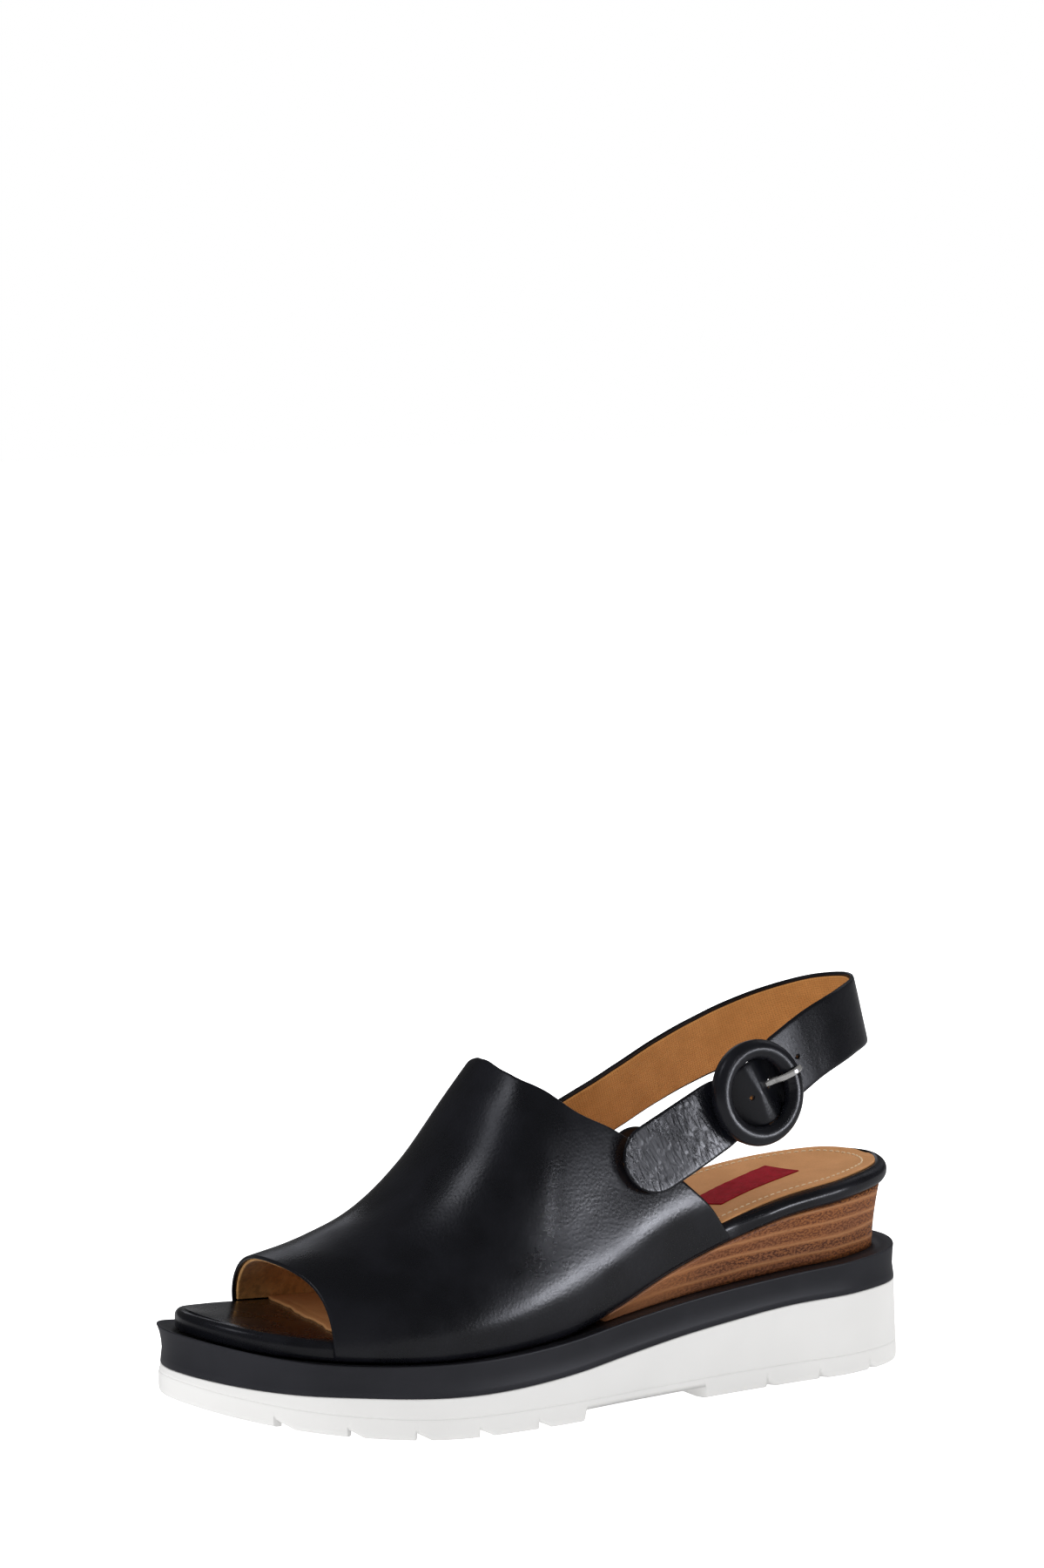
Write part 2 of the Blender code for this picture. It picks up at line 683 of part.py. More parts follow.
def make_chape():
    """The short strap from the lateral upper, under the ring, curled round the bar."""
    origin, to_heel, bar_way, out = buckle_frame_axes()
    curl = BAR_R + GAP + CHAPE_T / 2
    bar = origin - BAR_DROP * out
    half = STRAP_W / 2 - 0.6
    depth = VAMP_T + 2.0 + CHAPE_T / 2
    anchor = Vector(side_point(AXIS_Y, AXIS_Z, True, depth))
    reach = anchor - bar
    under = bar - 3.9 * out - 9 * to_heel
    path = []
    for t in (-0.24, -0.12, 0.0, 0.12, 0.25, 0.38, 0.5, 0.62, 0.76, 0.88, 1.0):
        point = anchor.lerp(under, t)
        inside = float(side_point(point.y, point.z, True, depth)[0])
        point.x = inside + (under.x - inside) * max(0.0, (t - 0.4) / 0.6) ** 1.3
        path.append(point)
    path.append(bar - 3.2 * out - 5.0 * to_heel)
    for degrees in range(-115, 106, 20):
        a = math.radians(degrees)
        path.append(bar + curl * (math.cos(a) * to_heel + math.sin(a) * out))
    count = len(path)
    high, low = (Vector(side_point(AXIS_Y, AXIS_Z + dz, True, depth)) for dz in (9, -9))
    lean = (high - low).normalized()
    straight = (path[6] - path[2]).normalized()
    root_way = (lean - straight * lean.dot(straight)).normalized()
    mid, ways, norms = [], [], []
    for i, p in enumerate(path):
        along = (path[min(i + 1, count - 1)] - path[max(i - 1, 0)]).normalized()
        mix = min(1.0, max(0.0, (i - 5) / 6))
        way = root_way.lerp(bar_way, mix)
        way = (way - along * way.dot(along)).normalized()
        mid.append(p)
        ways.append(way)
        norms.append(way.cross(along) * -1)
    grids = []
    for side in (0.5, -0.5):
        rows = []
        for i in range(count):
            behind = (path[i] - anchor).dot(reach.normalized())
            near = half * math.sqrt(max(0.02, 1 - (max(0.0, -behind) / half) ** 2))
            near = min(near, 8.6 if i > 10 else near)
            row = [
                mid[i] + w * near * ways[i] + side * CHAPE_T * norms[i]
                for w in (-1.0, -0.5, 0.0, 0.5, 1.0)
            ]
            rows.append([tuple(p) for p in row])
        grids.append(np.array(rows))
    chape = sheet("buckle_chape", grids[0], grids[1], "black_leather")
    turn = Matrix((to_heel, bar_way, out)).transposed()
    carve(chape, [box(bar + 1.5 * to_heel, (9, 4.6, 9), turn)])


def make_buckle():
    origin, to_heel, bar_way, out = buckle_frame_axes()
    bar = origin - BAR_DROP * out

    def at(along, across, rise):
        return origin + along * to_heel + across * bar_way + rise * out

    ring = [
        at(RING_R * math.cos(a), RING_R * math.sin(a), 0)
        for a in [2 * math.pi * k / 36 for k in range(36)]
    ]
    frame = tube("buckle_frame", ring, CORE_R, "steel", sides=10, closed=True)
    drop = BAR_DROP
    ends = [(-RING_R, -0.4), (-RING_R + 1.2, -2.0), (-RING_R + 3.4, -drop), (0, -drop)]
    ends += [(RING_R - 3.4, -drop), (RING_R - 1.2, -2.0), (RING_R, -0.4)]
    rod = tube("cutter", [at(0, a, r) for a, r in ends], BAR_R, "steel", sides=10)
    carve(frame, [rod], "UNION")

    points, faces = [], []
    arcs = np.radians(np.linspace(-55, 235, 11))
    section = [(WRAP_R * math.cos(a), WRAP_R * math.sin(a)) for a in arcs]
    inside = WRAP_R - WRAP_T
    section += [(inside * math.cos(a), inside * math.sin(a)) for a in arcs[::-1]]
    for turn in range(36):
        a = 2 * math.pi * turn / 36
        for radial, rise in section:
            r = RING_R + radial
            points.append(at(r * math.cos(a), r * math.sin(a), rise))
    size = len(section)
    for i in range(36):
        for k in range(size):
            a, b = i * size, ((i + 1) % 36) * size
            faces.append((a + k, b + k, b + (k + 1) % size, a + (k + 1) % size))
    wrap = add_mesh("buckle_wrap", points, faces, "black_leather")
    turn = Matrix((to_heel, bar_way, out)).transposed()
    gates = [box(at(0, side * (RING_R - 2.4), -2.6), (3.4, 5.2, 4.0), turn) for side in (-1, 1)]
    carve(wrap, gates)

    sleeve_r = BAR_R + GAP
    profile = [(sleeve_r, -1.7), (sleeve_r + 0.7, -1.7), (sleeve_r + 0.7, 1.7), (sleeve_r, 1.7)]
    points, faces = [], []
    for k in range(20):
        a = 2 * math.pi * k / 20
        for r, across in profile:
            way = math.cos(a) * to_heel + math.sin(a) * out
            points.append(bar + r * way + across * bar_way)
    for k in range(20):
        a, b = 4 * k, 4 * ((k + 1) % 20)
        for j in range(4):
            faces.append((a + j, b + j, b + (j + 1) % 4, a + (j + 1) % 4))
    prong = add_mesh("buckle_prong", points, faces, "silver")
    rise = WRAP_R + GAP + PRONG_R
    ends = [(1.2, -2.2), (3.8, -1.9), (6.8, 0.4), (10.0, 3.1), (13.5, rise + 0.1), (16.8, rise - 0.4)]
    path = resample([tuple(at(a, 0, r)) for a, r in ends], 14)
    taper = np.r_[np.full(11, PRONG_R), 0.7, 0.62, 0.45]
    carve(prong, [tube("cutter", path, taper, "silver", sides=10)], "UNION")


def set_origin(names, point):
    """Move the origin of each moving piece onto its hinge axis, leaving its shape in place."""
    for name in names:
        thing = bpy.data.objects[name]
        thing.data.transform(Matrix.Translation(-point))
        thing.location = point


def main():
    for thing in list(bpy.data.objects):
        bpy.data.objects.remove(thing, do_unlink=True)
    wedge = make_sole()
    make_footbed(wedge)
    make_upper()
    make_sling()
    make_chape()
    make_buckle()
    swing_axis = Vector((0.0, AXIS_Y, AXIS_Z)) * MM
    set_origin(("sling_strap", "sling_lining", "buckle_chape"), swing_axis)
    set_origin(("buckle_frame", "buckle_wrap", "buckle_prong"), buckle_bar())


main()
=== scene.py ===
"""Looks of a wedge sandal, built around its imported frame. Shapes are worked out in millimetres."""

import math

import bmesh
import bpy
import numpy as np
from mathutils import Matrix, Vector, noise


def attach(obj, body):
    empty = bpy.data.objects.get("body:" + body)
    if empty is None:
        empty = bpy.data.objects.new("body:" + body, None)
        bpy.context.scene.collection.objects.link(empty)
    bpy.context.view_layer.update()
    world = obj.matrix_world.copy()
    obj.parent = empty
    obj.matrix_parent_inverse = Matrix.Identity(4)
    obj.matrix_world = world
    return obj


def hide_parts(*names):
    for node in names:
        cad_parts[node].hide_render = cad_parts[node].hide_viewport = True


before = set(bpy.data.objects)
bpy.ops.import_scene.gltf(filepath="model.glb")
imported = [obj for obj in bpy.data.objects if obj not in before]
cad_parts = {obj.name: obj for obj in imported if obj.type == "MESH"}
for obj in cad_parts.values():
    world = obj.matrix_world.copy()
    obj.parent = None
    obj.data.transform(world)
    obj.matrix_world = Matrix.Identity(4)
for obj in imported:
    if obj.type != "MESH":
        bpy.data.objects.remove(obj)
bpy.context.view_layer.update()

MM = 0.001
GAP = 0.3

# The shoe's driving sizes, the same as the solids have.
SOLE = [
    (-9, -130), (16, -123.5), (34, -106), (44, -80), (49, -50), (48, -18), (43, 12), (38, 45),
    (35, 75), (33, 100), (22, 121), (2, 128.5), (-18, 121), (-30, 100), (-33, 75), (-32, 45),
    (-33, 12), (-39, -18), (-46, -50), (-46, -80), (-38, -108), (-25, -124),
]
Y_LEVELS = [-130, -110, -90, -50, -10, 5, 30, 50, 70, 100, 128]
Z_OUTSOLE = [21, 18, 16, 13.3, 16, 18.1, 21.5, 23.6, 25.5, 26.6, 27.2]
Z_PLATFORM = [33, 28.7, 26, 24, 26.8, 29, 32.2, 34.1, 35.6, 37.4, 38.8]
Z_FOOTBED = [33, 28.7, 26, 24, 27, 31.5, 41.3, 47.5, 52.4, 56.9, 60.3]
TOE_SPRING = 12
LUG_Y = [-108, -88, -67, -46, -25, 66, 87, 108]
LUG_NOTCH = 2.4
LUG_BACK = 2.2
LUG_RUN = 5.0
ARCH_Y = (-9, 39)
ARCH_GAP = 3.5
PARTING_Z = 6.8
PLATFORM_IN = 1.0
WEDGE_FOOT_IN = 8.0
WEDGE_TOP_IN = 5.2
WEDGE_START = 4.0
FOOTBED_IN = 5.4
HEEL_ROLL = 2.6
FOOTBED_T = 6.6
COVER_T = 1.1
CROWN_R = 3.0
DISH_Y = [-130, -105, -80, -50, 0, 60, 110, 128]
DISH_Z = [0.5, 0.6, 0, -0.9, -0.5, -1.3, -1.3, -0.6]
SOCK_IN = 6.7
SOCK_FRONT = (-86.5, -78.0)
STITCH_IN = 4.2
STITCH_FROM = -60
LABEL = (15, 38)
LABEL_AT = (0.5, 76, 17)
LABEL_LIFT = 0.86
VAMP_IN = 3.5
VAMP_T = 1.3
LINING_T = 0.9
LINING_LIFT = 7.3
RIDGE_Y = [-115, -95, -75, -55, -40, -25, -15, 5, 30, 60]
RIDGE_Z = [49.5, 53.5, 58, 68, 82.5, 103, 115, 121.5, 124, 124]
RIDGE_X = [-2, -2.5, -4]
ARCH_FULLNESS = (0.88, 1.0)
FRONT_ANGLE = [0, 45, 90, 135, 180]
FRONT_Y = [-92, -92, -96.5, -94, -90]
REAR_ANGLE = [0, 11, 19, 30, 38, 47, 55, 62, 73, 90]
REAR_Y = [54, 43.5, 34.5, 22, 11.5, -2, -9.5, -14.5, -18.3, -19.5]
CREST_Y = [-60, -34, -20, 2, 27, 45]
CREST_Z = [10, 12, 14, 17, 19, 17.5]
SWELL = 2.7
UPPER_LONG = 120
UPPER_ROUND = 170
AXIS_Y = 20.0
AXIS_Z = 79.0
ROOT_SLOPE = math.radians(24)
POCKET = 5.4
STRAP_W = 22.5
STRAP_PLY = 0.95
NECK_AT = [0, 3, 6, 9, 12, 16]
NECK_HALF = [10.75, 10.5, 9.9, 10.2, 10.9, 11.25]
STRAP_PATH = [
    (-23.4, 9.8, 74.4), (-22.3, 20, 79), (-22.1, 31, 84.2), (-23.6, 43, 89.2), (-26.3, 58, 95.2),
    (-28, 72, 100.2), (-28, 84, 104.2), (-22.5, 101, 110.2), (-11.5, 113.5, 114.6),
    (0, 117.5, 116.2), (11.5, 113.5, 116.3), (21.5, 101.5, 114.3), (27.5, 84.5, 108.8),
    (30.4, 71.5, 102.4), (32, 59.3, 96.6), (33.6, 47, 91), (35, 33.5, 84.8), (36, 20, 78.6),
    (36.7, 11.8, 74.6),
]
STRAP_LEAN = [14, 13, 12, 10, 9, 9, 9, 11, 12, 12, 12, 11, 10, 9, 8, 10, 13, 14, 15]
BAR_POINT = 14
HOLE_R = 0.75
HOLE_PITCH = 8.4
PRONG_HOLE = 5.2
RING_R = 14.0
WRAP_R = 3.1
RING_SEAM = math.radians(322)
RING_RISE = 5.4
BAR_DROP = 3.2
BAR_R = 1.0
CHAPE_T = 1.2
PRONG_HALF = (1.05, 0.62)
# Textures: a layer of the wood, and the pitch of the tab's threads.
WOOD_LAYER = 4.7
THREAD_PITCH = 0.42


def smooth(v, xs, ys):
    """A smooth curve through the points (xs, ys), read at v."""
    xs = np.asarray(xs, float)
    ys = np.asarray(ys, float)
    v = np.clip(np.asarray(v, float), xs[0], xs[-1])
    slope = np.gradient(ys, xs)
    i = np.clip(np.searchsorted(xs, v, side="right") - 1, 0, len(xs) - 2)
    h = xs[i + 1] - xs[i]
    t = (v - xs[i]) / h
    start = (2 * t**3 - 3 * t**2 + 1) * ys[i] + (t**3 - 2 * t**2 + t) * h * slope[i]
    end = (3 * t**2 - 2 * t**3) * ys[i + 1] + (t**3 - t**2) * h * slope[i + 1]
    return start + end


def step(v, low, high):
    """0 below low, 1 above high, smooth between."""
    t = np.clip((np.asarray(v, float) - low) / (high - low), 0, 1)
    return t * t * (3 - 2 * t)


def circle(count):
    """Cosines and sines at even steps round a circle."""
    turns = [2 * math.pi * k / count for k in range(count)]
    return [(math.cos(a), math.sin(a)) for a in turns]


def unit(v):
    return v / np.linalg.norm(v, axis=-1, keepdims=True)


def run_length(points):
    """The length from the first point to each of the others, along straight lines."""
    return np.r_[0, np.cumsum(np.linalg.norm(np.diff(points, axis=0), axis=1))]


def resample(points, count, closed=False):
    """Points at even steps along the smooth curve through the given ones."""
    p = np.asarray(points, float)
    if closed:
        p = np.vstack([p[-2:], p, p[:3]])
    length = run_length(p)
    first, last = (length[2], length[-3]) if closed else (0, length[-1])
    s = np.linspace(first, last, count, endpoint=not closed)
    return np.stack([smooth(s, length, p[:, k]) for k in range(p.shape[1])], -1)


OUTLINE = resample(SOLE, 1440, closed=True)
OUTLINE -= (OUTLINE.max(0) + OUTLINE.min(0)) / 2
HALF_LENGTH = OUTLINE[:, 1].max()


def inset_outline(inset):
    """The sole's outline moved inward, by one distance or one that depends on y."""
    if callable(inset):
        inset = inset(OUTLINE[:, 1:])
    tangent = np.roll(OUTLINE, -1, 0) - np.roll(OUTLINE, 1, 0)
    normal = np.c_[-tangent[:, 1], tangent[:, 0]]
    return OUTLINE + inset * normal / np.linalg.norm(normal, axis=1)[:, None]


def sides_at(y, inset):
    """The medial and lateral x of the inset outline at y."""
    curve = inset_outline(inset)
    toe, heel = np.argmin(curve[:, 1]), np.argmax(curve[:, 1])
    around = np.roll(curve, -toe, 0)
    turn = (heel - toe) % len(curve)
    medial, lateral = around[turn:][::-1], around[: turn + 1]
    return [np.interp(y, side[:, 1], side[:, 0]) for side in (medial, lateral)]


def z_bottom(y):
    return TOE_SPRING * np.maximum(0, (-50 - np.asarray(y)) / 80) ** 1.7


def z_outsole(y):
    return smooth(y, Y_LEVELS, Z_OUTSOLE)


def z_platform(y):
    return smooth(y, Y_LEVELS, Z_PLATFORM)


def z_footbed(y):
    return np.maximum(smooth(y, Y_LEVELS, Z_FOOTBED), z_platform(y)) + GAP


def wave(points, size, seed=0.0, stretch=(1, 1, 1)):
    """Smooth bumps from -1 to 1 at each point; size is the bumps' length in mm."""
    out = np.empty(points.shape[:-1])
    for index in np.ndindex(out.shape):
        p = points[index]
        spot = [p[k] / size * stretch[k] + seed for k in range(3)]
        out[index] = noise.noise(spot)
    return out


def add_object(name, data):
    made = bpy.data.objects.new(name, data)
    bpy.context.scene.collection.objects.link(made)
    return made


def add_mesh(name, points, faces, look, paths=None):
    """A mesh in metres with its faces turned outward; paths is a point attribute in mm."""
    mesh = bpy.data.meshes.new(name)
    mesh.from_pydata((np.asarray(points, float) * MM).tolist(), [], faces)
    if paths is not None:
        attribute = mesh.attributes.new("path", "FLOAT_VECTOR", "POINT")
        attribute.data.foreach_set("vector", np.asarray(paths, np.float32).ravel())
    shape = bmesh.new()
    shape.from_mesh(mesh)
    bmesh.ops.recalc_face_normals(shape, faces=shape.faces)
    for face in shape.faces:
        face.smooth = True
    shape.to_mesh(mesh)
    shape.free()
    mesh.materials.append(look)
    return add_object(name, mesh)


def settle(piece, body, slot, *nodes):
    """Ties a piece to its CAD body and hides the CAD nodes it stands for; slot is not used."""
    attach(piece, body)
    if nodes:
        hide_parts(*nodes)


def carve(target, cutter):
    """Cut the cutter's shape out of target and drop the cutter."""
    cut = target.modifiers.new("cut", "BOOLEAN")
    cut.object = cutter
    cut.operation = "DIFFERENCE"
    cut.solver = "EXACT"
    bpy.context.view_layer.update()
    graph = bpy.context.evaluated_depsgraph_get()
    done = bpy.data.meshes.new_from_object(target.evaluated_get(graph))
    target.modifiers.clear()
    target.data = done
    done.name = target.name
    bpy.data.objects.remove(cutter)


# Looks.


def put(tree, socket, value):
    """Link a node's output to a socket, or set a constant there."""
    if isinstance(value, bpy.types.NodeSocket):
        tree.links.new(value, socket)
    else:
        socket.default_value = value


class Look:
    """A node material; lengths in its textures are in mm of the object's own space."""

    def __init__(self, name, **constants):
        self.material = bpy.data.materials.new(name)
        self.material.use_nodes = True
        self.tree = self.material.node_tree
        self.shader = self.tree.nodes["Principled BSDF"]
        for key, value in constants.items():
            self.shader.inputs[key.replace("_", " ")].default_value = value
        place = self.add("TexCoord").outputs["Object"]
        self.mm = self.vector("SCALE", place, Scale=1000)

    def add(self, kind, values=None, **settings):
        node = self.tree.nodes.new("ShaderNode" + kind)
        for key, value in settings.items():
            setattr(node, key, value)
        for key, value in (values or {}).items():
            put(self.tree, node.inputs[key], value)
        return node

    def vector(self, operation, a, b=None, **values):
        values[0] = a
        if b is not None:
            values[1] = b
        return self.add("VectorMath", values, operation=operation).outputs[0]

    def math(self, operation, a, b=0.0, c=None):
        values = {0: a, 1: b}
        if c is not None:
            values[2] = c
        return self.add("Math", values, operation=operation).outputs[0]

    def split(self, vector):
        return self.add("SeparateXYZ", {0: vector}).outputs

    def path(self):
        return self.add("Attribute", attribute_name="path").outputs["Vector"]

    def noise(self, where, size, detail=2.0, rough=0.5):
        values = {"Vector": where, "Scale": 1 / size, "Detail": detail, "Roughness": rough}
        return self.add("TexNoise", values).outputs[0]

    def cells(self, where, size, feature="DISTANCE_TO_EDGE", spread=1.0):
        values = {"Vector": where, "Scale": 1 / size, "Randomness": spread}
        return self.add("TexVoronoi", values, feature=feature).outputs["Distance"]

    def fit(self, value, low=0.3, high=0.7, to_low=0.0, to_high=1.0):
        """Value from low to high turned smoothly into to_low to to_high."""
        values = {1: low, 2: high, 3: to_low, 4: to_high, "Value": value}
        node = self.add("MapRange", values, interpolation_type="SMOOTHSTEP")
        return node.outputs["Result"]

    def mix(self, share, a, b):
        node = self.add("Mix", data_type="RGBA")
        for key, value in ((0, share), (6, a), (7, b)):
            put(self.tree, node.inputs[key], (*value, 1) if isinstance(value, tuple) else value)
        return node.outputs[2]

    def finish(self, colour, rough, bumps=()):
        """Link the colour, the roughness and a stack of (height, depth in mm) bumps."""
        put(self.tree, self.shader.inputs["Base Color"], colour)
        put(self.tree, self.shader.inputs["Roughness"], rough)
        normal = None
        for height, depth in bumps:
            values = {"Height": height, "Distance": depth * MM, "Strength": 1.0}
            if normal is not None:
                values["Normal"] = normal
            normal = self.add("Bump", values).outputs[0]
        if normal is not None:
            put(self.tree, self.shader.inputs["Normal"], normal)
        return self.material


def calf(name, rough=0.26, grain=0.018, creased=False):
    """Smooth black calf: a fine pebble, faint pores and patches, and cracks if it is a strap."""
    look = Look(name, Coat_Weight=0.08, Coat_Roughness=0.2)
    warp = look.add("TexNoise", {"Vector": look.mm, "Scale": 0.7, "Detail": 2.0}).outputs[1]
    where = look.vector("ADD", look.mm, look.vector("SCALE", warp, Scale=0.5))
    pebble = look.fit(look.cells(where, 1.3, "F1", 0.8), 0.7, 0.1)
    pore = look.noise(look.mm, 0.85, 2.0, 0.6)
    patch = look.noise(look.mm, 22.0, 3.0)
    tone = look.fit(patch, 0.35, 0.65)
    colour = look.mix(tone, (0.004, 0.0043, 0.0065), (0.007, 0.0075, 0.0115))
    gloss = look.fit(patch, 0.3, 0.7, rough - 0.04, rough + 0.05)
    gloss = look.math("MULTIPLY_ADD", pore, 0.08, gloss)
    bumps = [(pebble, grain), (pore, grain)]
    if creased:
        path = look.path()
        fold = look.cells(look.vector("MULTIPLY", path, (1.0, 0.28, 1.0)), 1.7)
        tail = look.split(path)[2]
        crack = look.math("MULTIPLY", look.fit(fold, 0.0, 0.22), tail)
        bumps.append((crack, 0.05))
    return look.finish(colour, gloss, bumps)


def satin_wrap():
    look = Look("black_wrap_satin", Specular_IOR_Level=0.2)
    grain = look.noise(look.mm, 0.3, 2.0)
    patch = look.noise(look.mm, 30.0, 3.0)
    colour = look.mix(look.fit(patch), (0.017, 0.0175, 0.0215), (0.022, 0.0225, 0.028))
    gloss = look.fit(patch, 0.3, 0.7, 0.36, 0.43)
    return look.finish(colour, gloss, [(grain, 0.006)])


def white_rubber():
    look = Look("white_rubber_moulded")
    patch = look.noise(look.mm, 40.0, 2.0)
    speck = look.noise(look.mm, 0.5, 3.0)
    scuff = look.fit(look.noise(look.mm, 6.0, 6.0, 0.7), 0.6, 0.75)
    low = look.split(look.mm)[2]
    worn = look.math("MULTIPLY", scuff, look.fit(low, 4.0, 0.0))
    colour = look.mix(look.fit(patch), (0.745, 0.74, 0.73), (0.785, 0.78, 0.77))
    colour = look.mix(look.math("MULTIPLY", worn, 0.25), colour, (0.55, 0.53, 0.49))
    gloss = look.fit(patch, 0.3, 0.7, 0.48, 0.58)
    return look.finish(colour, gloss, [(speck, 0.012)])


def stacked_wood():
    """Thin stacked layers: a pale line at each joint, speckled brown between, and painted light on
    the front.
    """
    look = Look("stacked_wood", Specular_IOR_Level=0.18, Coat_Weight=0.03, Coat_Roughness=0.25)
    path = look.path()
    split = look.split(path)
    along = look.vector("MULTIPLY", path, (0.12, 1.0, 1.0))
    sway = look.noise(along, 5.0, 2.0)
    height = look.math("MULTIPLY_ADD", sway, 2.4, split[1])
    layer_at = look.math("DIVIDE", height, WOOD_LAYER)
    inside = look.math("FRACT", layer_at)
    which = look.math("FLOOR", layer_at)
    shade = look.add("TexWhiteNoise", {"W": which}, noise_dimensions="1D").outputs[0]
    edge = look.math("ABSOLUTE", look.math("SUBTRACT", inside, 0.5))
    line = look.fit(edge, 0.22, 0.46)
    thin = look.fit(edge, 0.40, 0.5)
    streak = look.noise(look.vector("MULTIPLY", path, (0.10, 1.6, 1.0)), 0.6, 4.0, 0.7)
    speck = look.noise(look.vector("MULTIPLY", path, (0.75, 1.3, 1.0)), 0.85, 2.0, 0.7)
    dark = look.mix(shade, (0.075, 0.025, 0.011), (0.135, 0.044, 0.016))
    tone = look.fit(look.noise(look.mm, 26.0, 2.0), 0.35, 0.65)
    light = look.mix(tone, (0.25, 0.092, 0.038), (0.31, 0.108, 0.030))
    colour = look.mix(look.fit(speck, 0.44, 0.56), dark, light)
    colour = look.mix(look.math("MULTIPLY", line, 0.7), colour, (0.38, 0.155, 0.058))
    colour = look.mix(look.math("MULTIPLY", thin, 0.4), colour, (0.46, 0.23, 0.10))
    colour = look.mix(look.fit(streak, 0.52, 0.72, 0.0, 0.5), colour, (0.085, 0.026, 0.011))
    # Painted light: the front of the wedge, which the band and upper shade, is painted lighter
    # towards the toe.
    painted_light_y = look.split(look.mm)[1]
    colour = look.mix(look.fit(painted_light_y, 55.0, 10.0, 0.0, 0.6), colour, (0.44, 0.19, 0.085))
    gloss = look.fit(speck, 0.3, 0.7, 0.42, 0.55)
    return look.finish(colour, gloss, [(line, 0.05), (speck, 0.015)])


def tan_leather(name, low, high, weave=0.0, rough=0.55, suede=False):
    look = Look(name, Specular_IOR_Level=0.12, Sheen_Weight=0.1 if suede else 0.0)
    patch = look.noise(look.mm, 9.0, 4.0, 0.6)
    fine = look.noise(look.mm, 0.4, 3.0, 0.6)
    colour = look.mix(look.fit(patch), low, high)
    dark = tuple(0.62 * c for c in low)
    colour = look.mix(look.fit(fine, 0.5, 0.8, 0.0, 0.45), colour, dark)
    bumps = [(fine, 0.03 if suede else 0.012)]
    if weave:
        path = look.path()
        split = look.split(path)
        ripple = look.noise(path, 2.2, 2.0)
        rows = []
        for k, pitch in ((0, 0.9), (1, 0.75)):
            turn = look.math("MULTIPLY", split[k], 2 * math.pi / pitch)
            rows.append(look.math("SINE", look.math("MULTIPLY_ADD", ripple, 4.0, turn)))
        grid = look.math("MULTIPLY", look.math("ADD", rows[0], rows[1]), 0.5)
        colour = look.mix(look.fit(grid, 0.2, -0.9, 0.0, 0.5), colour, dark)
        bumps.append((grid, weave))
    if suede:
        mottle = look.noise(look.mm, 2.2, 5.0, 0.7)
        colour = look.mix(look.fit(mottle, 0.45, 0.62, 0.0, 0.55), colour, dark)
        bumps.append((mottle, 0.12))
    return look.finish(colour, look.fit(fine, 0.3, 0.7, rough, rough + 0.12), bumps)


def woven_red():
    look = Look("red_woven_tab", Specular_IOR_Level=0.08)
    split = look.split(look.path())
    rows = []
    for k in (0, 1):
        turn = look.math("MULTIPLY", split[k], 2 * math.pi / THREAD_PITCH)
        rows.append(look.math("SINE", turn))
    thread = look.math("MULTIPLY", rows[0], rows[1])
    tone = look.fit(look.noise(look.mm, 3.0, 3.0))
    colour = look.mix(tone, (0.25, 0.003, 0.010), (0.33, 0.005, 0.017))
    colour = look.mix(look.fit(thread, 0.0, -1.0, 0.0, 0.35), colour, (0.12, 0.004, 0.01))
    return look.finish(colour, look.fit(thread, -1, 1, 0.55, 0.7), [(thread, 0.03)])


def metal(name, colour, rough):
    look = Look(name, Metallic=0.8)
    scratch = look.noise(look.vector("MULTIPLY", look.mm, (1.0, 6.0, 1.0)), 1.0, 4.0)
    worn = look.mix(look.fit(scratch, 0.4, 0.7), colour, tuple(0.85 * c for c in colour))
    return look.finish(worn, look.fit(scratch, 0.3, 0.7, rough, rough + 0.08), [(scratch, 0.004)])


def plain(name, low, high, rough, size, depth):
    look = Look(name)
    tone = look.noise(look.mm, size, 4.0, 0.6)
    colour = look.mix(look.fit(tone, 0.35, 0.65), low, high)
    return look.finish(colour, look.fit(tone, 0.3, 0.7, rough, rough + 0.1), [(tone, depth)])


CALF = calf("black_calf_upper")
CALF_FOOTBED = calf("black_calf_footbed", rough=0.23, grain=0.008)
CALF_STRAP = calf("black_calf_strap", rough=0.25, grain=0.012, creased=True)
CALF_RING = calf("black_calf_buckle", rough=0.25, grain=0.012)
SATIN = satin_wrap()
RUBBER = white_rubber()
WOOD = stacked_wood()
STRAP_TAN = tan_leather("tan_strap_lining", (0.50, 0.222, 0.065), (0.59, 0.268, 0.082), weave=0.05)
SOCK_TAN = tan_leather("tan_sock", (0.49, 0.24, 0.094), (0.55, 0.272, 0.112), rough=0.5)
SUEDE = tan_leather(
    "ochre_upper_lining", (0.50, 0.24, 0.07), (0.62, 0.33, 0.115), suede=True, rough=0.7
)
THREAD = plain("beige_thread", (0.68, 0.50, 0.30), (0.78, 0.62, 0.40), 0.6, 0.5, 0.02)
RED = woven_red()
NICKEL = metal("polished_nickel", (0.78, 0.77, 0.75), 0.14)
STEEL = metal("bright_steel", (0.60, 0.60, 0.61), 0.3)
FOAM = plain("cream_foam", (0.50, 0.48, 0.43), (0.60, 0.58, 0.53), 0.8, 0.6, 0.2)
BOARD = plain("brown_fibreboard", (0.36, 0.25, 0.15), (0.46, 0.33, 0.20), 0.75, 0.8, 0.1)

# Inner pieces keep their solids and get a finished look.
for names, look in (
    (["platform_core", "footbed_foam"], FOAM),
    (["insole_board"], BOARD),
    (["shank", "shank_rivet_front", "shank_rivet_rear", "buckle_frame"], STEEL),
    ([f"heel_nail_{k}" for k in range(1, 6)], STEEL),
):
    for name in names:
        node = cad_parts[name]
        node.data.materials.clear()
        node.data.materials.append(look)


# The sole's layers.


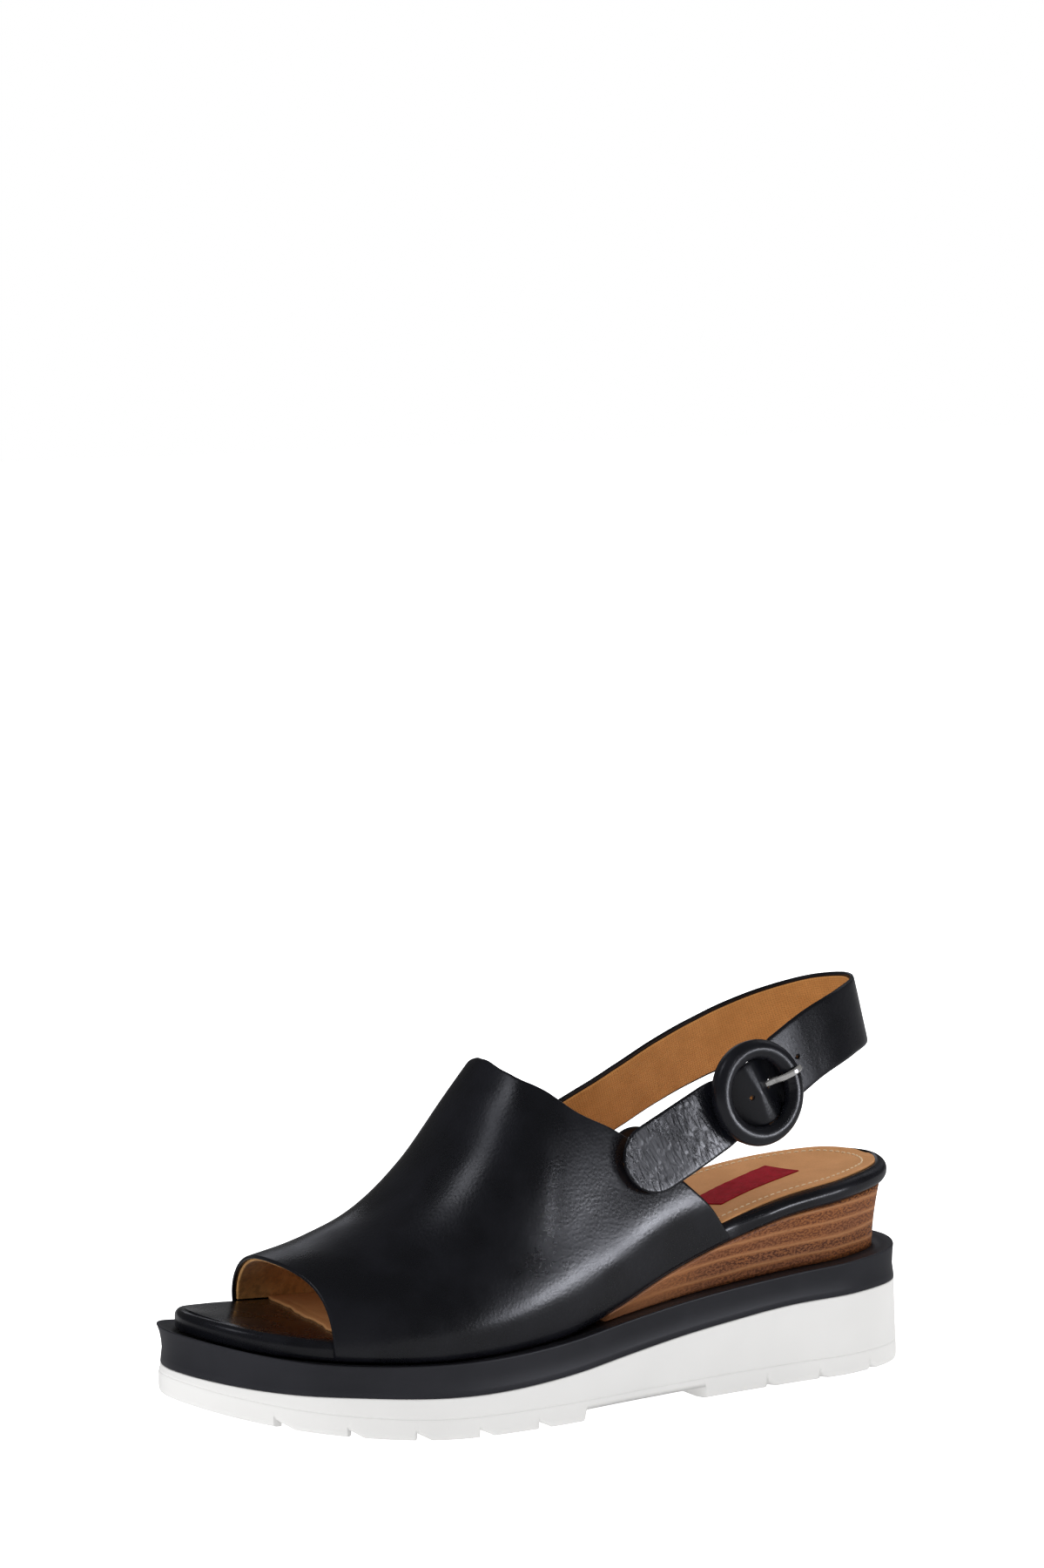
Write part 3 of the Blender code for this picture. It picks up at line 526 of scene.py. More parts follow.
def stations(count, start=None, extra=()):
    """Places along the shoe from -1 at the toe to 1 at the heel, close together at the ends."""
    a = 0.0 if start is None else math.acos(-start / HALF_LENGTH)
    p = -np.cos(np.linspace(a, math.pi, count))
    p = np.r_[p, np.asarray(extra, float) / HALF_LENGTH]
    p = np.unique(np.round(p, 5))
    return np.clip(p, -0.99999, 0.99999)


def band(a, b, count):
    """Faces between two rings of count points that start at a and at b."""
    return [(a + i, a + (i + 1) % count, b + (i + 1) % count, b + i) for i in range(count)]


def hoop(rings, sides, first=0):
    """Faces of a closed hoop of rings with this many points each."""
    faces = []
    for i in range(rings):
        a, b = first + i * sides, first + (i + 1) % rings * sides
        faces += [(a + k, b + k, b + (k + 1) % sides, a + (k + 1) % sides) for k in range(sides)]
    return faces


def layer(name, levels, look, places, loop=False, cap=None, columns=14):
    """A sole layer from levels of (inset, height) with a gridded top and underside."""
    count = len(places)
    points, faces, paths = [], [], []
    for inset, height in levels:
        curve = inset_outline(inset)
        low, high = curve[:, 1].min() + 1e-3, curve[:, 1].max() - 1e-3
        y = np.interp(places, [-1, 1], [low, high])
        medial, lateral = sides_at(y, inset)
        z = height(y, places * HALF_LENGTH)
        ring = np.vstack([np.c_[lateral, y, z], np.c_[medial[::-1], y[::-1], z[::-1]]])
        length = run_length(ring[:, :2])
        points.append(ring)
        paths.append(np.c_[length, ring[:, 2] - z_platform(ring[:, 1]), 0 * length])
    size = 2 * count
    rings = len(levels)
    for k in range(rings if loop else rings - 1):
        faces += band(k * size, (k + 1) % rings * size, size)
    points, paths = np.vstack(points), np.vstack(paths)
    if not loop:
        for k, up in ((0, False), (rings - 1, True)):
            ring = points[k * size : (k + 1) * size]
            t = np.linspace(0, 1, columns)[None, 1:-1, None]
            fill = ring[:count, None] * (1 - t) + ring[::-1][:count, None] * t
            if cap is not None and up:
                fill[..., 2] += cap(fill[..., 0], fill[..., 1])
            first = len(points)
            points = np.vstack([points, fill.reshape(-1, 3)])
            paths = np.vstack([paths, fill.reshape(-1, 3)])
            inner = columns - 2

            def corner(i, j):
                if j == 0:
                    return k * size + i
                if j == columns - 1:
                    return k * size + size - 1 - i
                return first + i * inner + j - 1

            for i in range(count - 1):
                for j in range(columns - 1):
                    ends = ((i, j), (i + 1, j), (i + 1, j + 1), (i, j + 1))
                    faces.append(tuple(corner(*end) for end in ends))
    return add_mesh(name, points, faces, look, paths)


def lugs(y):
    """How far the tread is cut away: a sharp step and a slope back at each lug, and the arch."""
    cut = np.zeros_like(y)
    for at in LUG_Y:
        back = (y - at + LUG_BACK) / LUG_RUN
        cut = np.maximum(cut, np.where((back >= 0) & (back <= 1), LUG_NOTCH * (1 - back), 0))
    start, end = ARCH_Y
    behind = step(y, start - 0.8, start + 0.2)
    ahead = step(-y, -end - 0.8, -end + 0.2)
    return np.maximum(cut, ARCH_GAP * np.minimum(behind, ahead))


def make_outsole():
    # Rows close together at each lug's step and at the arch's ends.
    extra = []
    for at in LUG_Y:
        extra += [at - 2.25, at - 2.19, at - 1.2, at, at + 1.4, at + 2.75, at + 2.85]
    for at in ARCH_Y:
        extra += [at + d for d in (-1, -0.7, -0.4, -0.1, 0.2, 0.5, 0.8)]
    places = stations(190, extra=extra)

    def tread(rise, share=1.0):
        return lambda y, n: z_bottom(y) + rise + share * lugs(n)

    def line(rise):
        return lambda y, n: z_bottom(y) + PARTING_Z + rise

    def top(rise):
        return lambda y, n: z_outsole(y) + rise

    def middle(y, n):
        return 0.5 * (z_bottom(y) + 7.4 + z_outsole(y) - 0.6)

    levels = [
        (5.0, tread(0)), (1.6, tread(0)), (0.85, tread(0.12)), (0.3, tread(0.45)),
        (0.0, tread(1.1)), (-0.05, tread(2.2, 0.5)), (0.0, line(-1.2)), (0.0, line(-0.35)),
        (0.03, line(-0.22)), (0.22, line(-0.05)), (0.22, line(0.08)), (0.14, line(0.25)),
        (0.16, line(0.6)), (0.45, middle), (0.6, top(-0.6)), (0.72, top(-0.2)),
        (1.0, top(-0.02)), (1.5, top(0)),
    ]
    settle(layer("outsole_moulded", levels, RUBBER, places), "shoe", "white_rubber", "outsole")


def make_platform():
    def flare(y):
        return 1.1 * step(-np.asarray(y), 70, 118) + 0.2

    def lip(y):
        return 0.6 * step(-np.asarray(y), 90, 124)

    def low(rise):
        return lambda y, n: z_outsole(y) + 0.06 + rise

    def high(rise, share=1.0):
        return lambda y, n: z_platform(y) + rise + share * lip(y)

    def part_way(share):
        return lambda y, n: (1 - share) * z_outsole(y) + share * (z_platform(y) + lip(y))

    def edge(extra, share):
        return lambda y: PLATFORM_IN + extra - share * flare(y)

    levels = [
        (12.0, low(0)), (1.1, low(0)), (0.75, low(0.08)), (0.62, low(0.35)),
        (edge(-0.15, 0.0), part_way(0.2)), (edge(0.15, 0.0), part_way(0.4)),
        (edge(0.1, 0.12), part_way(0.6)), (edge(0.0, 0.4), part_way(0.8)),
        (edge(-0.05, 0.85), high(-0.75)), (edge(-0.05, 1.0), high(-0.35)),
        (edge(0.05, 1.0), high(-0.1)), (edge(0.3, 1.0), high(0.0)),
        (edge(0.7, 1.0), high(-0.06)), (edge(1.4, 1.0), high(-0.25, 0.75)),
        (edge(3.5, 0.8), high(-0.3, 0.2)), (12.0, high(-0.3, 0.0)), (12.0, high(-1.0, 0.0)),
        (2.6, high(-1.0, 0.0)), (2.6, low(1.0)), (12.0, low(1.0)),
    ]
    piece = layer("platform_band", levels, SATIN, stations(170), loop=True)
    settle(piece, "shoe", "black_wrap", "platform_wrap")


def make_wedge():
    levels = []
    for share in np.linspace(0, 1, 13):
        inset = WEDGE_FOOT_IN + (WEDGE_TOP_IN - WEDGE_FOOT_IN) * share
        inset = inset + 0.45 * math.sin(math.pi * share)

        def height(y, n, share=share):
            bottom, top = z_platform(y) - 0.2, z_footbed(y) - 0.12
            return bottom + (top - bottom) * share

        levels.append((inset, height))
    piece = layer("wedge_stack", levels, WOOD, stations(140, start=WEDGE_START))
    settle(piece, "shoe", "wood", "wedge")


def dish(x, y):
    """The footbed's top: cupped at the heel and ball, a little crowned at the toe."""
    medial, lateral = sides_at(y, FOOTBED_IN)
    u = np.clip((2 * x - medial - lateral) / (lateral - medial), -1, 1)
    return smooth(y, DISH_Y, DISH_Z) * (1 - u * u) ** 1.5


def footbed_top(x, y):
    return z_footbed(y) + FOOTBED_T + dish(x, y)


def make_footbed():
    inner = FOOTBED_IN + COVER_T

    def roll(share):
        return lambda y: FOOTBED_IN - share * HEEL_ROLL * smooth(y, [55, 61, 68], [0, 0.5, 1])

    def rise(amount):
        return lambda y, n: z_footbed(y) + amount

    levels = [(inner, rise(FOOTBED_T - COVER_T)), (inner, rise(0.1)), (FOOTBED_IN + 0.8, rise(0.1))]
    levels.append((lambda y: roll(0.2)(y) + 0.25, rise(0.2)))
    for share, amount in ((0.55, 0.7), (0.8, 1.5), (0.95, 2.4)):
        levels.append((roll(share), rise(amount)))
    for k in range(9):
        a = math.radians(90 * k / 8)
        back = CROWN_R * (1 - math.cos(a))
        amount = FOOTBED_T - CROWN_R + CROWN_R * math.sin(a)
        levels.append((lambda y, back=back: roll(1.0)(y) + back, rise(amount)))
    piece = layer("footbed_wrapped", levels, CALF_FOOTBED, stations(170), columns=26, cap=dish)
    settle(piece, "shoe", "black_leather", "footbed_cover")


def slab(name, outer, inner, look, paths=None):
    """A closed sheet between two matching grids of points."""
    rows, cols = outer.shape[:2]
    points = np.vstack([outer.reshape(-1, 3), inner.reshape(-1, 3)])
    size = rows * cols
    faces = []
    for i in range(rows - 1):
        for j in range(cols - 1):
            a, b = i * cols + j, (i + 1) * cols + j
            faces.append((a, a + 1, b + 1, b))
            faces.append((size + a, size + b, size + b + 1, size + a + 1))
    border = list(range(cols))
    border += [i * cols + cols - 1 for i in range(1, rows)]
    border += [(rows - 1) * cols + j for j in range(cols - 2, -1, -1)]
    border += [i * cols for i in range(rows - 2, 0, -1)]
    faces += [(a, b, size + b, size + a) for a, b in zip(border, border[1:] + border[:1])]
    if paths is not None:
        paths = np.vstack([paths.reshape(-1, 3)] * 2)
    return add_mesh(name, points, faces, look, paths)


def edge_steps(length, count, radius):
    """Shares of a length, close together within radius of both ends."""
    near = radius * np.array([0, 0.08, 0.3, 0.65, 1.0])
    middle = np.linspace(radius, length - radius, count)[1:-1]
    return np.r_[near, middle, length - near[::-1]] / length


def rounding(distance, radius):
    """How much of a sheet's half thickness is left at this distance from its edge."""
    t = np.clip(distance / radius, 0, 1)
    return np.sqrt(np.clip(1 - (1 - t) ** 2, 0.0, 1))


# The sock, its stitches and its tab.


def make_sock():
    low, high = SOCK_FRONT
    heel = inset_outline(SOCK_IN)[:, 1].max() - 0.05
    t = 1 - np.cos(np.linspace(0.35, math.pi, 150))
    t = (t - t[0]) / (t[-1] - t[0])
    across = edge_steps(60, 22, 1.2) * 2 - 1
    front = (low + high) / 2 + across * (low - high) / 2
    front = front + 0.5 * np.sin(across * 9) + 0.3 * np.sin(across * 23)
    y = front + t[:, None] * (heel - front)
    medial, lateral = sides_at(y, SOCK_IN)
    x = (medial + lateral) / 2 + across * (lateral - medial) / 2
    rest = footbed_top(x, y) + 0.02
    edge = np.minimum((1 - np.abs(across)) * (lateral - medial) / 2, (y - front) + 0.35)
    edge = np.minimum(edge, heel - y)
    thick = 0.25 + 0.55 * rounding(edge, 0.7)
    ditch = np.exp(-(((edge - STITCH_IN) / 0.5) ** 2)) * 0.16
    top = rest + thick - ditch
    paths = np.stack([x, y, 0 * x], -1)
    piece = slab("sock", np.stack([x, y, top], -1), np.stack([x, y, rest], -1), SOCK_TAN, paths)
    settle(piece, "shoe", "tan_leather", "sock_lining")


def make_stitches():
    """One sewn line parallel to the sock's edge, from the front round the heel and back."""
    curve = inset_outline(SOCK_IN + STITCH_IN)
    curve = np.roll(curve, -np.argmin(curve[:, 1]), 0)
    curve = curve[curve[:, 1] > STITCH_FROM]
    length = run_length(curve)
    pitch, long, radius = 2.45, 1.9, 0.34
    up = np.array([0, 0, 0.8])
    rings, sides = 7, 8
    points, faces = [], []
    for s in np.arange(1.0, length[-1] - 1.0, pitch):
        ends = np.array([np.interp([s, s + long], length, curve[:, k]) for k in (0, 1)]).T
        way = unit(ends[1] - ends[0])
        side = np.array([-way[1], way[0], 0])
        first = len(points)
        for t in np.linspace(0, 1, rings):
            xy = ends[0] * (1 - t) + ends[1] * t
            hill = math.sin(math.pi * t)
            z = footbed_top(xy[0], xy[1]) + 0.56 + 0.32 * hill**0.6
            r = radius * (0.55 + 0.45 * hill**0.5)
            points += [np.r_[xy, z] + r * c * side + r * n * up for c, n in circle(sides)]
        for i in range(rings - 1):
            faces += band(first + sides * i, first + sides * (i + 1), sides)
        last = len(points)
        faces += [tuple(range(first, first + sides)), tuple(range(last - sides, last))]
    settle(add_mesh("sock_stitches", points, faces, THREAD), "shoe", "tan_leather")


def make_tab():
    width, long = LABEL
    x0, y0, turn = LABEL_AT
    c, n = math.cos(math.radians(turn)), math.sin(math.radians(turn))
    v = (edge_steps(long, 60, 0.6) - 0.5) * long
    u = (edge_steps(width, 26, 0.6) - 0.5) * width
    u, v = np.meshgrid(u, v)
    x, y = x0 + u * c - v * n, y0 + u * n + v * c
    rest = footbed_top(x, y) + LABEL_LIFT
    edge = np.minimum(width / 2 - np.abs(u), long / 2 - np.abs(v))
    ragged = 1.6 * wave(np.stack([0 * v, v, 0 * v], -1), 3.4, 6.0)
    fray = np.clip(-u / width - 0.1, 0, 0.4) * ragged
    x, y = x + fray * c, y + fray * n
    top = rest + 0.12 + 0.28 * rounding(edge, 0.35) - 0.10 * np.exp(-(((edge - 1.1) / 0.22) ** 2))
    paths = np.stack([u, v, 0 * u], -1)
    piece = slab("sock_tab", np.stack([x, y, top], -1), np.stack([x, y, rest], -1), RED, paths)
    settle(piece, "shoe", "red_fabric", "sock_label")


# The upper.


def rear_y(angle):
    """The topline, the same on both sides."""
    degrees = np.degrees(np.asarray(angle))
    return smooth(np.minimum(degrees, 180 - degrees), REAR_ANGLE, REAR_Y)


def front_y(angle):
    return smooth(np.degrees(angle), FRONT_ANGLE, FRONT_Y)


def shell_point(y, angle):
    """The outside of the upper: an arch from the lateral edge (0) over the ridge to the medial."""
    medial, lateral = sides_at(y, VAMP_IN)
    foot = z_footbed(y)
    ridge_z = smooth(y, RIDGE_Y, RIDGE_Z)
    ridge_x = smooth(y, [-110, -50, 60], RIDGE_X)
    power = smooth(y, [-110, 0], ARCH_FULLNESS)
    c, s = np.cos(angle), np.sin(angle)
    reach = np.where(c >= 0, lateral - ridge_x, ridge_x - medial)
    x = ridge_x + np.sign(c) * reach * np.abs(c) ** power
    return np.stack([x, y + 0 * x, foot + (ridge_z - foot) * s], -1)


def shell_normal(y, angle):
    e = 0.02
    inside = np.clip(angle, e, math.pi - e)
    along = shell_point(y + 0.5, inside) - shell_point(y - 0.5, inside)
    round_it = shell_point(y, inside + e) - shell_point(y, inside - e)
    return unit(np.cross(along, round_it))


def shell_grid(t, u, lift=0.0, trim=0.0):
    """The upper's outward normals and outside points, for shares t back and u across."""
    t, u = t[:, None], u[None, :]
    angle = math.pi * u + 0 * t
    for _ in range(8):
        y = (front_y(angle) + trim) * (1 - t) + (rear_y(angle) - trim) * t
        first = np.arcsin(lift / (smooth(y, RIDGE_Y, RIDGE_Z) - z_footbed(y)))
        angle = first + (math.pi - 2 * first) * u
    return shell_normal(y, angle), shell_point(y, angle)


def to_edges(t, u):
    """Distances from the front or rear edge, and from the lower edges."""
    ends = np.minimum(t, 1 - t)[:, None] * UPPER_LONG
    return ends, np.minimum(u, 1 - u)[None, :] * UPPER_ROUND


def side_point(y, z, depth):
    """The point of the lateral side at this y and height, set in by depth."""
    foot = float(z_footbed(y))
    rise = (z - foot) / (float(smooth(y, RIDGE_Y, RIDGE_Z)) - foot)
    angle = np.array(math.asin(min(1.0, max(0.0, rise))))
    y = np.array(float(y))
    return shell_point(y, angle) - depth * shell_normal(y, angle)


def make_upper():
    t = edge_steps(UPPER_LONG, 110, 1.4)
    u = edge_steps(UPPER_ROUND, 130, 2.0)
    normal, outside = shell_grid(t, u)
    y = outside[..., 1]
    height = outside[..., 2] - z_footbed(y)
    crest = smooth(y, CREST_Y, CREST_Z)
    fall = np.where(height > crest, 15.0, 10.0)
    swell = SWELL * np.exp(-(((height - crest) / fall) ** 2)) * step(y, -95, -50)
    tuck = 0.9 * np.clip(1 - height / 2.2, 0, 1) ** 2
    tuck = tuck + 0.09 * crest * np.clip(1 - height / crest, 0, 1) ** 1.5
    drift = 0.14 * wave(outside, 17.0) + 0.04 * wave(outside, 7.0, 3.1)
    ends, feet = to_edges(t, u)
    quiet = rounding(ends, 14) * rounding(feet, 10)
    outside = outside + (swell - tuck + drift * quiet)[..., None] * normal
    half = VAMP_T / 2
    full = (half * rounding(np.minimum(ends, feet), 0.75))[..., None] * normal
    middle = outside - half * normal
    settle(slab("upper_shell", middle + full, middle - full, CALF), "shoe", "black_leather", "vamp")


def strap_pocket(points):
    """From 0, away from the strap's roots, to 1 beside them, where the lining stands in."""
    dy, dz = points[..., 1] - AXIS_Y, points[..., 2] - AXIS_Z
    c, n = math.cos(ROOT_SLOPE), math.sin(ROOT_SLOPE)
    along, across = c * dy + n * dz, -n * dy + c * dz
    reach = np.hypot(np.minimum(along, 0), across / (1 + 0.02 * np.maximum(along, 0)))
    return step(-reach, -22, -14)


def make_upper_lining():
    t = edge_steps(UPPER_LONG, 70, 1.0)
    u = edge_steps(UPPER_ROUND, 90, 1.0)
    normal, outside = shell_grid(t, u, LINING_LIFT, 1.2)
    near = VAMP_T + 0.12 + POCKET * strap_pocket(outside)
    edge = np.minimum(*to_edges(t, u))
    ripple = 0.12 * wave(outside, 6.0, 5.0)
    thick = LINING_T * (0.3 + 0.7 * rounding(edge, 0.6))
    outer = outside - near[..., None] * normal
    inner = outside - (near + thick + ripple * rounding(edge, 4))[..., None] * normal
    settle(slab("upper_lining", outer, inner, SUEDE), "shoe", "tan_leather", "vamp_lining")


# The sling strap.


STRAP_AT = run_length(np.asarray(STRAP_PATH, float))
STRAP_END = STRAP_AT[-1]
BAR_AT = STRAP_AT[BAR_POINT]


def strap_frames(s):
    """Centres and the along, width and outward directions at lengths s down the strap."""
    p = np.asarray(STRAP_PATH, float)
    s = np.clip(s, 0, STRAP_END)

    def place(v):
        return np.stack([smooth(v, STRAP_AT, p[:, k]) for k in range(3)], -1)

    along = unit(place(np.minimum(s + 0.5, STRAP_END)) - place(np.maximum(s - 0.5, 0)))
    up = unit(np.array([0, 0, 1.0]) - along * along[:, 2:3])
    out = np.cross(up, along)
    lean = np.radians(smooth(s, STRAP_AT, STRAP_LEAN))[:, None]
    width = np.cos(lean) * up - np.sin(lean) * out
    outward = np.cos(lean) * out + np.sin(lean) * up
    return place(s), along, width, outward


def strap_hump(distance, across=0.0):
    """How far the strap rises where it passes over the buckle's bar; its edges rise less."""
    away = np.hypot(np.sqrt(distance * distance + 1.0) - 1.0, 0.18 * across)
    t = np.clip(away / 11.0, 0, 1)
    rise = RING_RISE - BAR_DROP + BAR_R + CHAPE_T + 2 * GAP + STRAP_PLY + 0.3
    return rise * (0.55 * (1 - t) ** 1.5 + 0.45 * np.cos(t * math.pi / 2) ** 2)


def strap_half(s):
    """Half the strap's width: narrower in the ring, rounded at both ends."""
    half = smooth(np.abs(s - BAR_AT), NECK_AT, NECK_HALF)
    end = np.minimum(s, STRAP_END - s)
    return half * np.sqrt(np.clip(1 - (np.maximum(0, half - end) / half) ** 2, 0.0004, 1))


def strap_sheet(name, top, thick, margin, look, crease, cols):
    """One ply of the strap, top mm out from its middle and margin mm narrower all round."""
    ends = np.array([0.02, 0.08, 0.2, 0.4, 0.7, 1.1, 1.6, 2.2, 3.0])
    s = np.r_[
        ends, np.arange(4, BAR_AT - 20, 1.3), np.arange(BAR_AT - 20, STRAP_END - 3.4, 0.45),
        STRAP_END - ends[::-1],
    ]
    s = margin + (s / STRAP_END) * (STRAP_END - 2 * margin)
    centre, _, width, outward = strap_frames(s)
    half = np.maximum(strap_half(s) - margin, 0.05)
    w = edge_steps(22, cols, 1.2) * 2 - 1
    sideways = w[None, :] * half[:, None]
    spot = centre[:, None] + sideways[..., None] * width[:, None]
    rise = strap_hump((s - BAR_AT)[:, None], sideways)
    spot = spot + rise[..., None] * outward[:, None]
    from_side = (1 - np.abs(w))[None, :] * half[:, None]
    edge = np.minimum(from_side, np.minimum(s, STRAP_END - s)[:, None])
    full = thick / 2 * rounding(edge, min(0.7, thick / 2 + 0.1))
    tail = step(s, BAR_AT + 11, BAR_AT + 17)
    dent = 0.0
    paths = np.stack([s[:, None] + 0 * w, sideways, tail[:, None] + 0 * w], -1)
    if crease:
        lean = paths[..., 0] + 0.35 * sideways
        flat = np.stack([lean, sideways, 0 * lean], -1)
        fold = -np.abs(wave(flat, 2.5, 1.7, (1, 0.16, 1))) * 2
        fold = fold + 0.5 * wave(flat, 1.4, 4.2, (1, 0.25, 1))
        pebble = wave(flat, 1.5, 8.0)
        last = step(s, STRAP_END - 17, STRAP_END - 9)[:, None]
        dent = (0.085 * fold * (1 - 0.4 * last) + 0.055 * pebble * last) * tail[:, None]
        dent = dent * rounding(edge, 2.5) + 0.06 * wave(flat, 12.0, 2.0)
        dent = dent + 0.16 * rounding(edge, 3.0)
    middle = spot + (top - thick / 2) * outward[:, None]
    high = middle + (full + dent)[..., None] * outward[:, None]
    low = middle - full[..., None] * outward[:, None]
    return slab(name, high, low, look, paths)


def cylinder(base, way, radius, reach, sides=24):
    """A round cutter."""
    way = Vector(way).normalized()
    across = way.orthogonal().normalized()
    up = way.cross(across)
    points = []
    for h in (-reach, reach):
        for c, n in circle(sides):
            points.append(tuple(Vector(base) + way * h + radius * (c * across + n * up)))
    faces = band(0, sides, sides)
    faces += [tuple(range(sides)), tuple(range(sides, 2 * sides))]
    return add_mesh("cutter", points, faces, CALF_STRAP)


def block(centre, size):
    """A square cutter in line with the buckle."""
    points = []
    for x, y, z in np.ndindex(2, 2, 2):
        corner = Vector(((x - 0.5) * size[0], (y - 0.5) * size[1], (z - 0.5) * size[2]))
        points.append(tuple(Vector(centre) + TURN @ corner))
    faces = [(0, 1, 3, 2), (4, 6, 7, 5), (0, 4, 5, 1), (2, 3, 7, 6), (0, 2, 6, 4), (1, 5, 7, 3)]
    return add_mesh("cutter", points, faces, CALF_STRAP)


def buckle_axes():
    """The buckle's origin and its along-strap, along-bar and outward directions."""
    centre, along, width, outward = strap_frames(np.array([BAR_AT]))
    to_heel, bar_way, out = Vector(-along[0]), Vector(width[0]), Vector(outward[0])
    return Vector(centre[0]) + RING_RISE * out, to_heel, bar_way, out


ORIGIN, TO_HEEL, BAR_WAY, OUT = buckle_axes()
TURN = Matrix((TO_HEEL, BAR_WAY, OUT)).transposed()
BAR = ORIGIN - BAR_DROP * OUT


def at(along, across, rise):
    """A place in the buckle's own directions."""
    return ORIGIN + float(along) * TO_HEEL + float(across) * BAR_WAY + float(rise) * OUT


def make_sling():
    ply = STRAP_PLY + GAP
    strap = strap_sheet("sling_outer", ply / 2 + 0.47, 1.25, 0.0, CALF_STRAP, True, 30)
    lining = strap_sheet("sling_inner", -0.20, 0.85, 1.15, STRAP_TAN, False, 18)
    for k in (-1, 1, 2):
        centre, _, _, outward = strap_frames(np.array([BAR_AT - PRONG_HOLE - HOLE_PITCH * k]))
        for piece in (strap, lining):
            spot = centre[0] + (3 if k < 0 else 0) * outward[0]
            wide = 1.0 if k < 0 and piece is lining else 0.0
            carve(piece, cylinder(spot, outward[0], HOLE_R + wide, 9))
    carve(strap, block(at(5.9, 0, 0.6), (4.2, 2.4, 12)))
    carve(lining, block(at(5.6, 0, 0.6), (7.6, 3.0, 12)))
    settle(strap, "sling", "black_leather", "sling_strap")
    settle(lining, "sling", "tan_leather", "sling_lining")


def make_chape():
    """The short strap from the lateral upper, under the ring, curled round the bar."""
    curl = BAR_R + GAP + CHAPE_T / 2
    half = STRAP_W / 2 - 0.6
    depth = VAMP_T + 2.0 + CHAPE_T / 2
    anchor = Vector(side_point(AXIS_Y, AXIS_Z, depth))
    reach = anchor - BAR
    under = BAR - 3.9 * OUT - 9 * TO_HEEL
    path = []
    for t in (-0.24, -0.12, 0.0, 0.12, 0.25, 0.38, 0.5, 0.62, 0.76, 0.88, 1.0):
        point = anchor.lerp(under, t)
        inside = float(side_point(point.y, point.z, depth)[0])
        point.x = inside + (under.x - inside) * max(0.0, (t - 0.4) / 0.6) ** 1.3
        path.append(point)
    path.append(BAR - 3.2 * OUT - 5.0 * TO_HEEL)
    for degrees in range(-115, 106, 20):
        a = math.radians(degrees)
        path.append(BAR + curl * (math.cos(a) * TO_HEEL + math.sin(a) * OUT))
    coarse = np.array([tuple(p) for p in path])
    rows = 130
    fine = resample(coarse, rows)
    high, low = (Vector(side_point(AXIS_Y, AXIS_Z + dz, depth)) for dz in (9, -9))
    lean = (high - low).normalized()
    straight = (path[6] - path[2]).normalized()
    root_way = (lean - straight * lean.dot(straight)).normalized()
    knots = run_length(coarse)
    index = np.interp(np.linspace(0, knots[-1], rows), knots, np.arange(len(coarse)))
    columns = edge_steps(20, 16, 1.0) * 2 - 1
    outer, inner = [], []
    for i, p in enumerate(fine):
        along = Vector(fine[min(i + 1, rows - 1)] - fine[max(i - 1, 0)]).normalized()
        way = root_way.lerp(BAR_WAY, min(1.0, max(0.0, (index[i] - 5) / 6)))
        way = (way - along * way.dot(along)).normalized()
        norm = way.cross(along) * -1
        behind = (Vector(p) - anchor).dot(reach.normalized())
        near = half * math.sqrt(max(0.02, 1 - (max(0.0, -behind) / half) ** 2))
        near = near + (min(near, 8.6) - near) * float(step(index[i], 8.5, 11))
        edge = np.minimum((1 - np.abs(columns)) * near, 3.0)
        full = CHAPE_T / 2 * np.maximum(rounding(edge, 0.6), 0.05)
        for side, grid in ((1, outer), (-1, inner)):
            grid.append([
                tuple(Vector(p) + float(w) * near * way + side * float(f) * norm)
                for w, f in zip(columns, full)
            ])
    chape = slab("buckle_strap", np.array(outer), np.array(inner), CALF)
    carve(chape, block(BAR + 1.5 * TO_HEEL, (9, 4.6, 9)))
    settle(chape, "sling", "black_leather", "buckle_chape")


def make_ring():
    """The buckle's leather, gathered towards the ring's middle, with one seam round it."""
    around, section = 200, 40
    points, paths = [], []
    for i, (c, n) in enumerate(circle(around)):
        for k, (radial, rise) in enumerate(circle(section)):
            b = 2 * math.pi * k / section
            inner = max(0.0, -radial)
            gather = noise.noise((9 * c, 9 * n, 0.4 * b)) * 0.30 * inner
            gather += noise.noise((30 * c, 30 * n, 0.8 * b)) * 0.10 * (0.3 + inner)
            r = WRAP_R * (1 + 0.02 * math.cos(2 * b)) + gather * 0.5
            r += 0.42 * math.exp(-(((b - RING_SEAM) / 0.13) ** 2))
            points.append(tuple(at((RING_R + r * radial) * c, (RING_R + r * radial) * n, r * rise)))
            paths.append((RING_R * 2 * math.pi * i / around, WRAP_R * b, 0))
    ring = add_mesh("buckle_ring", points, hoop(around, section), CALF_RING, paths)
    settle(ring, "buckle", "black_leather", "buckle_wrap")


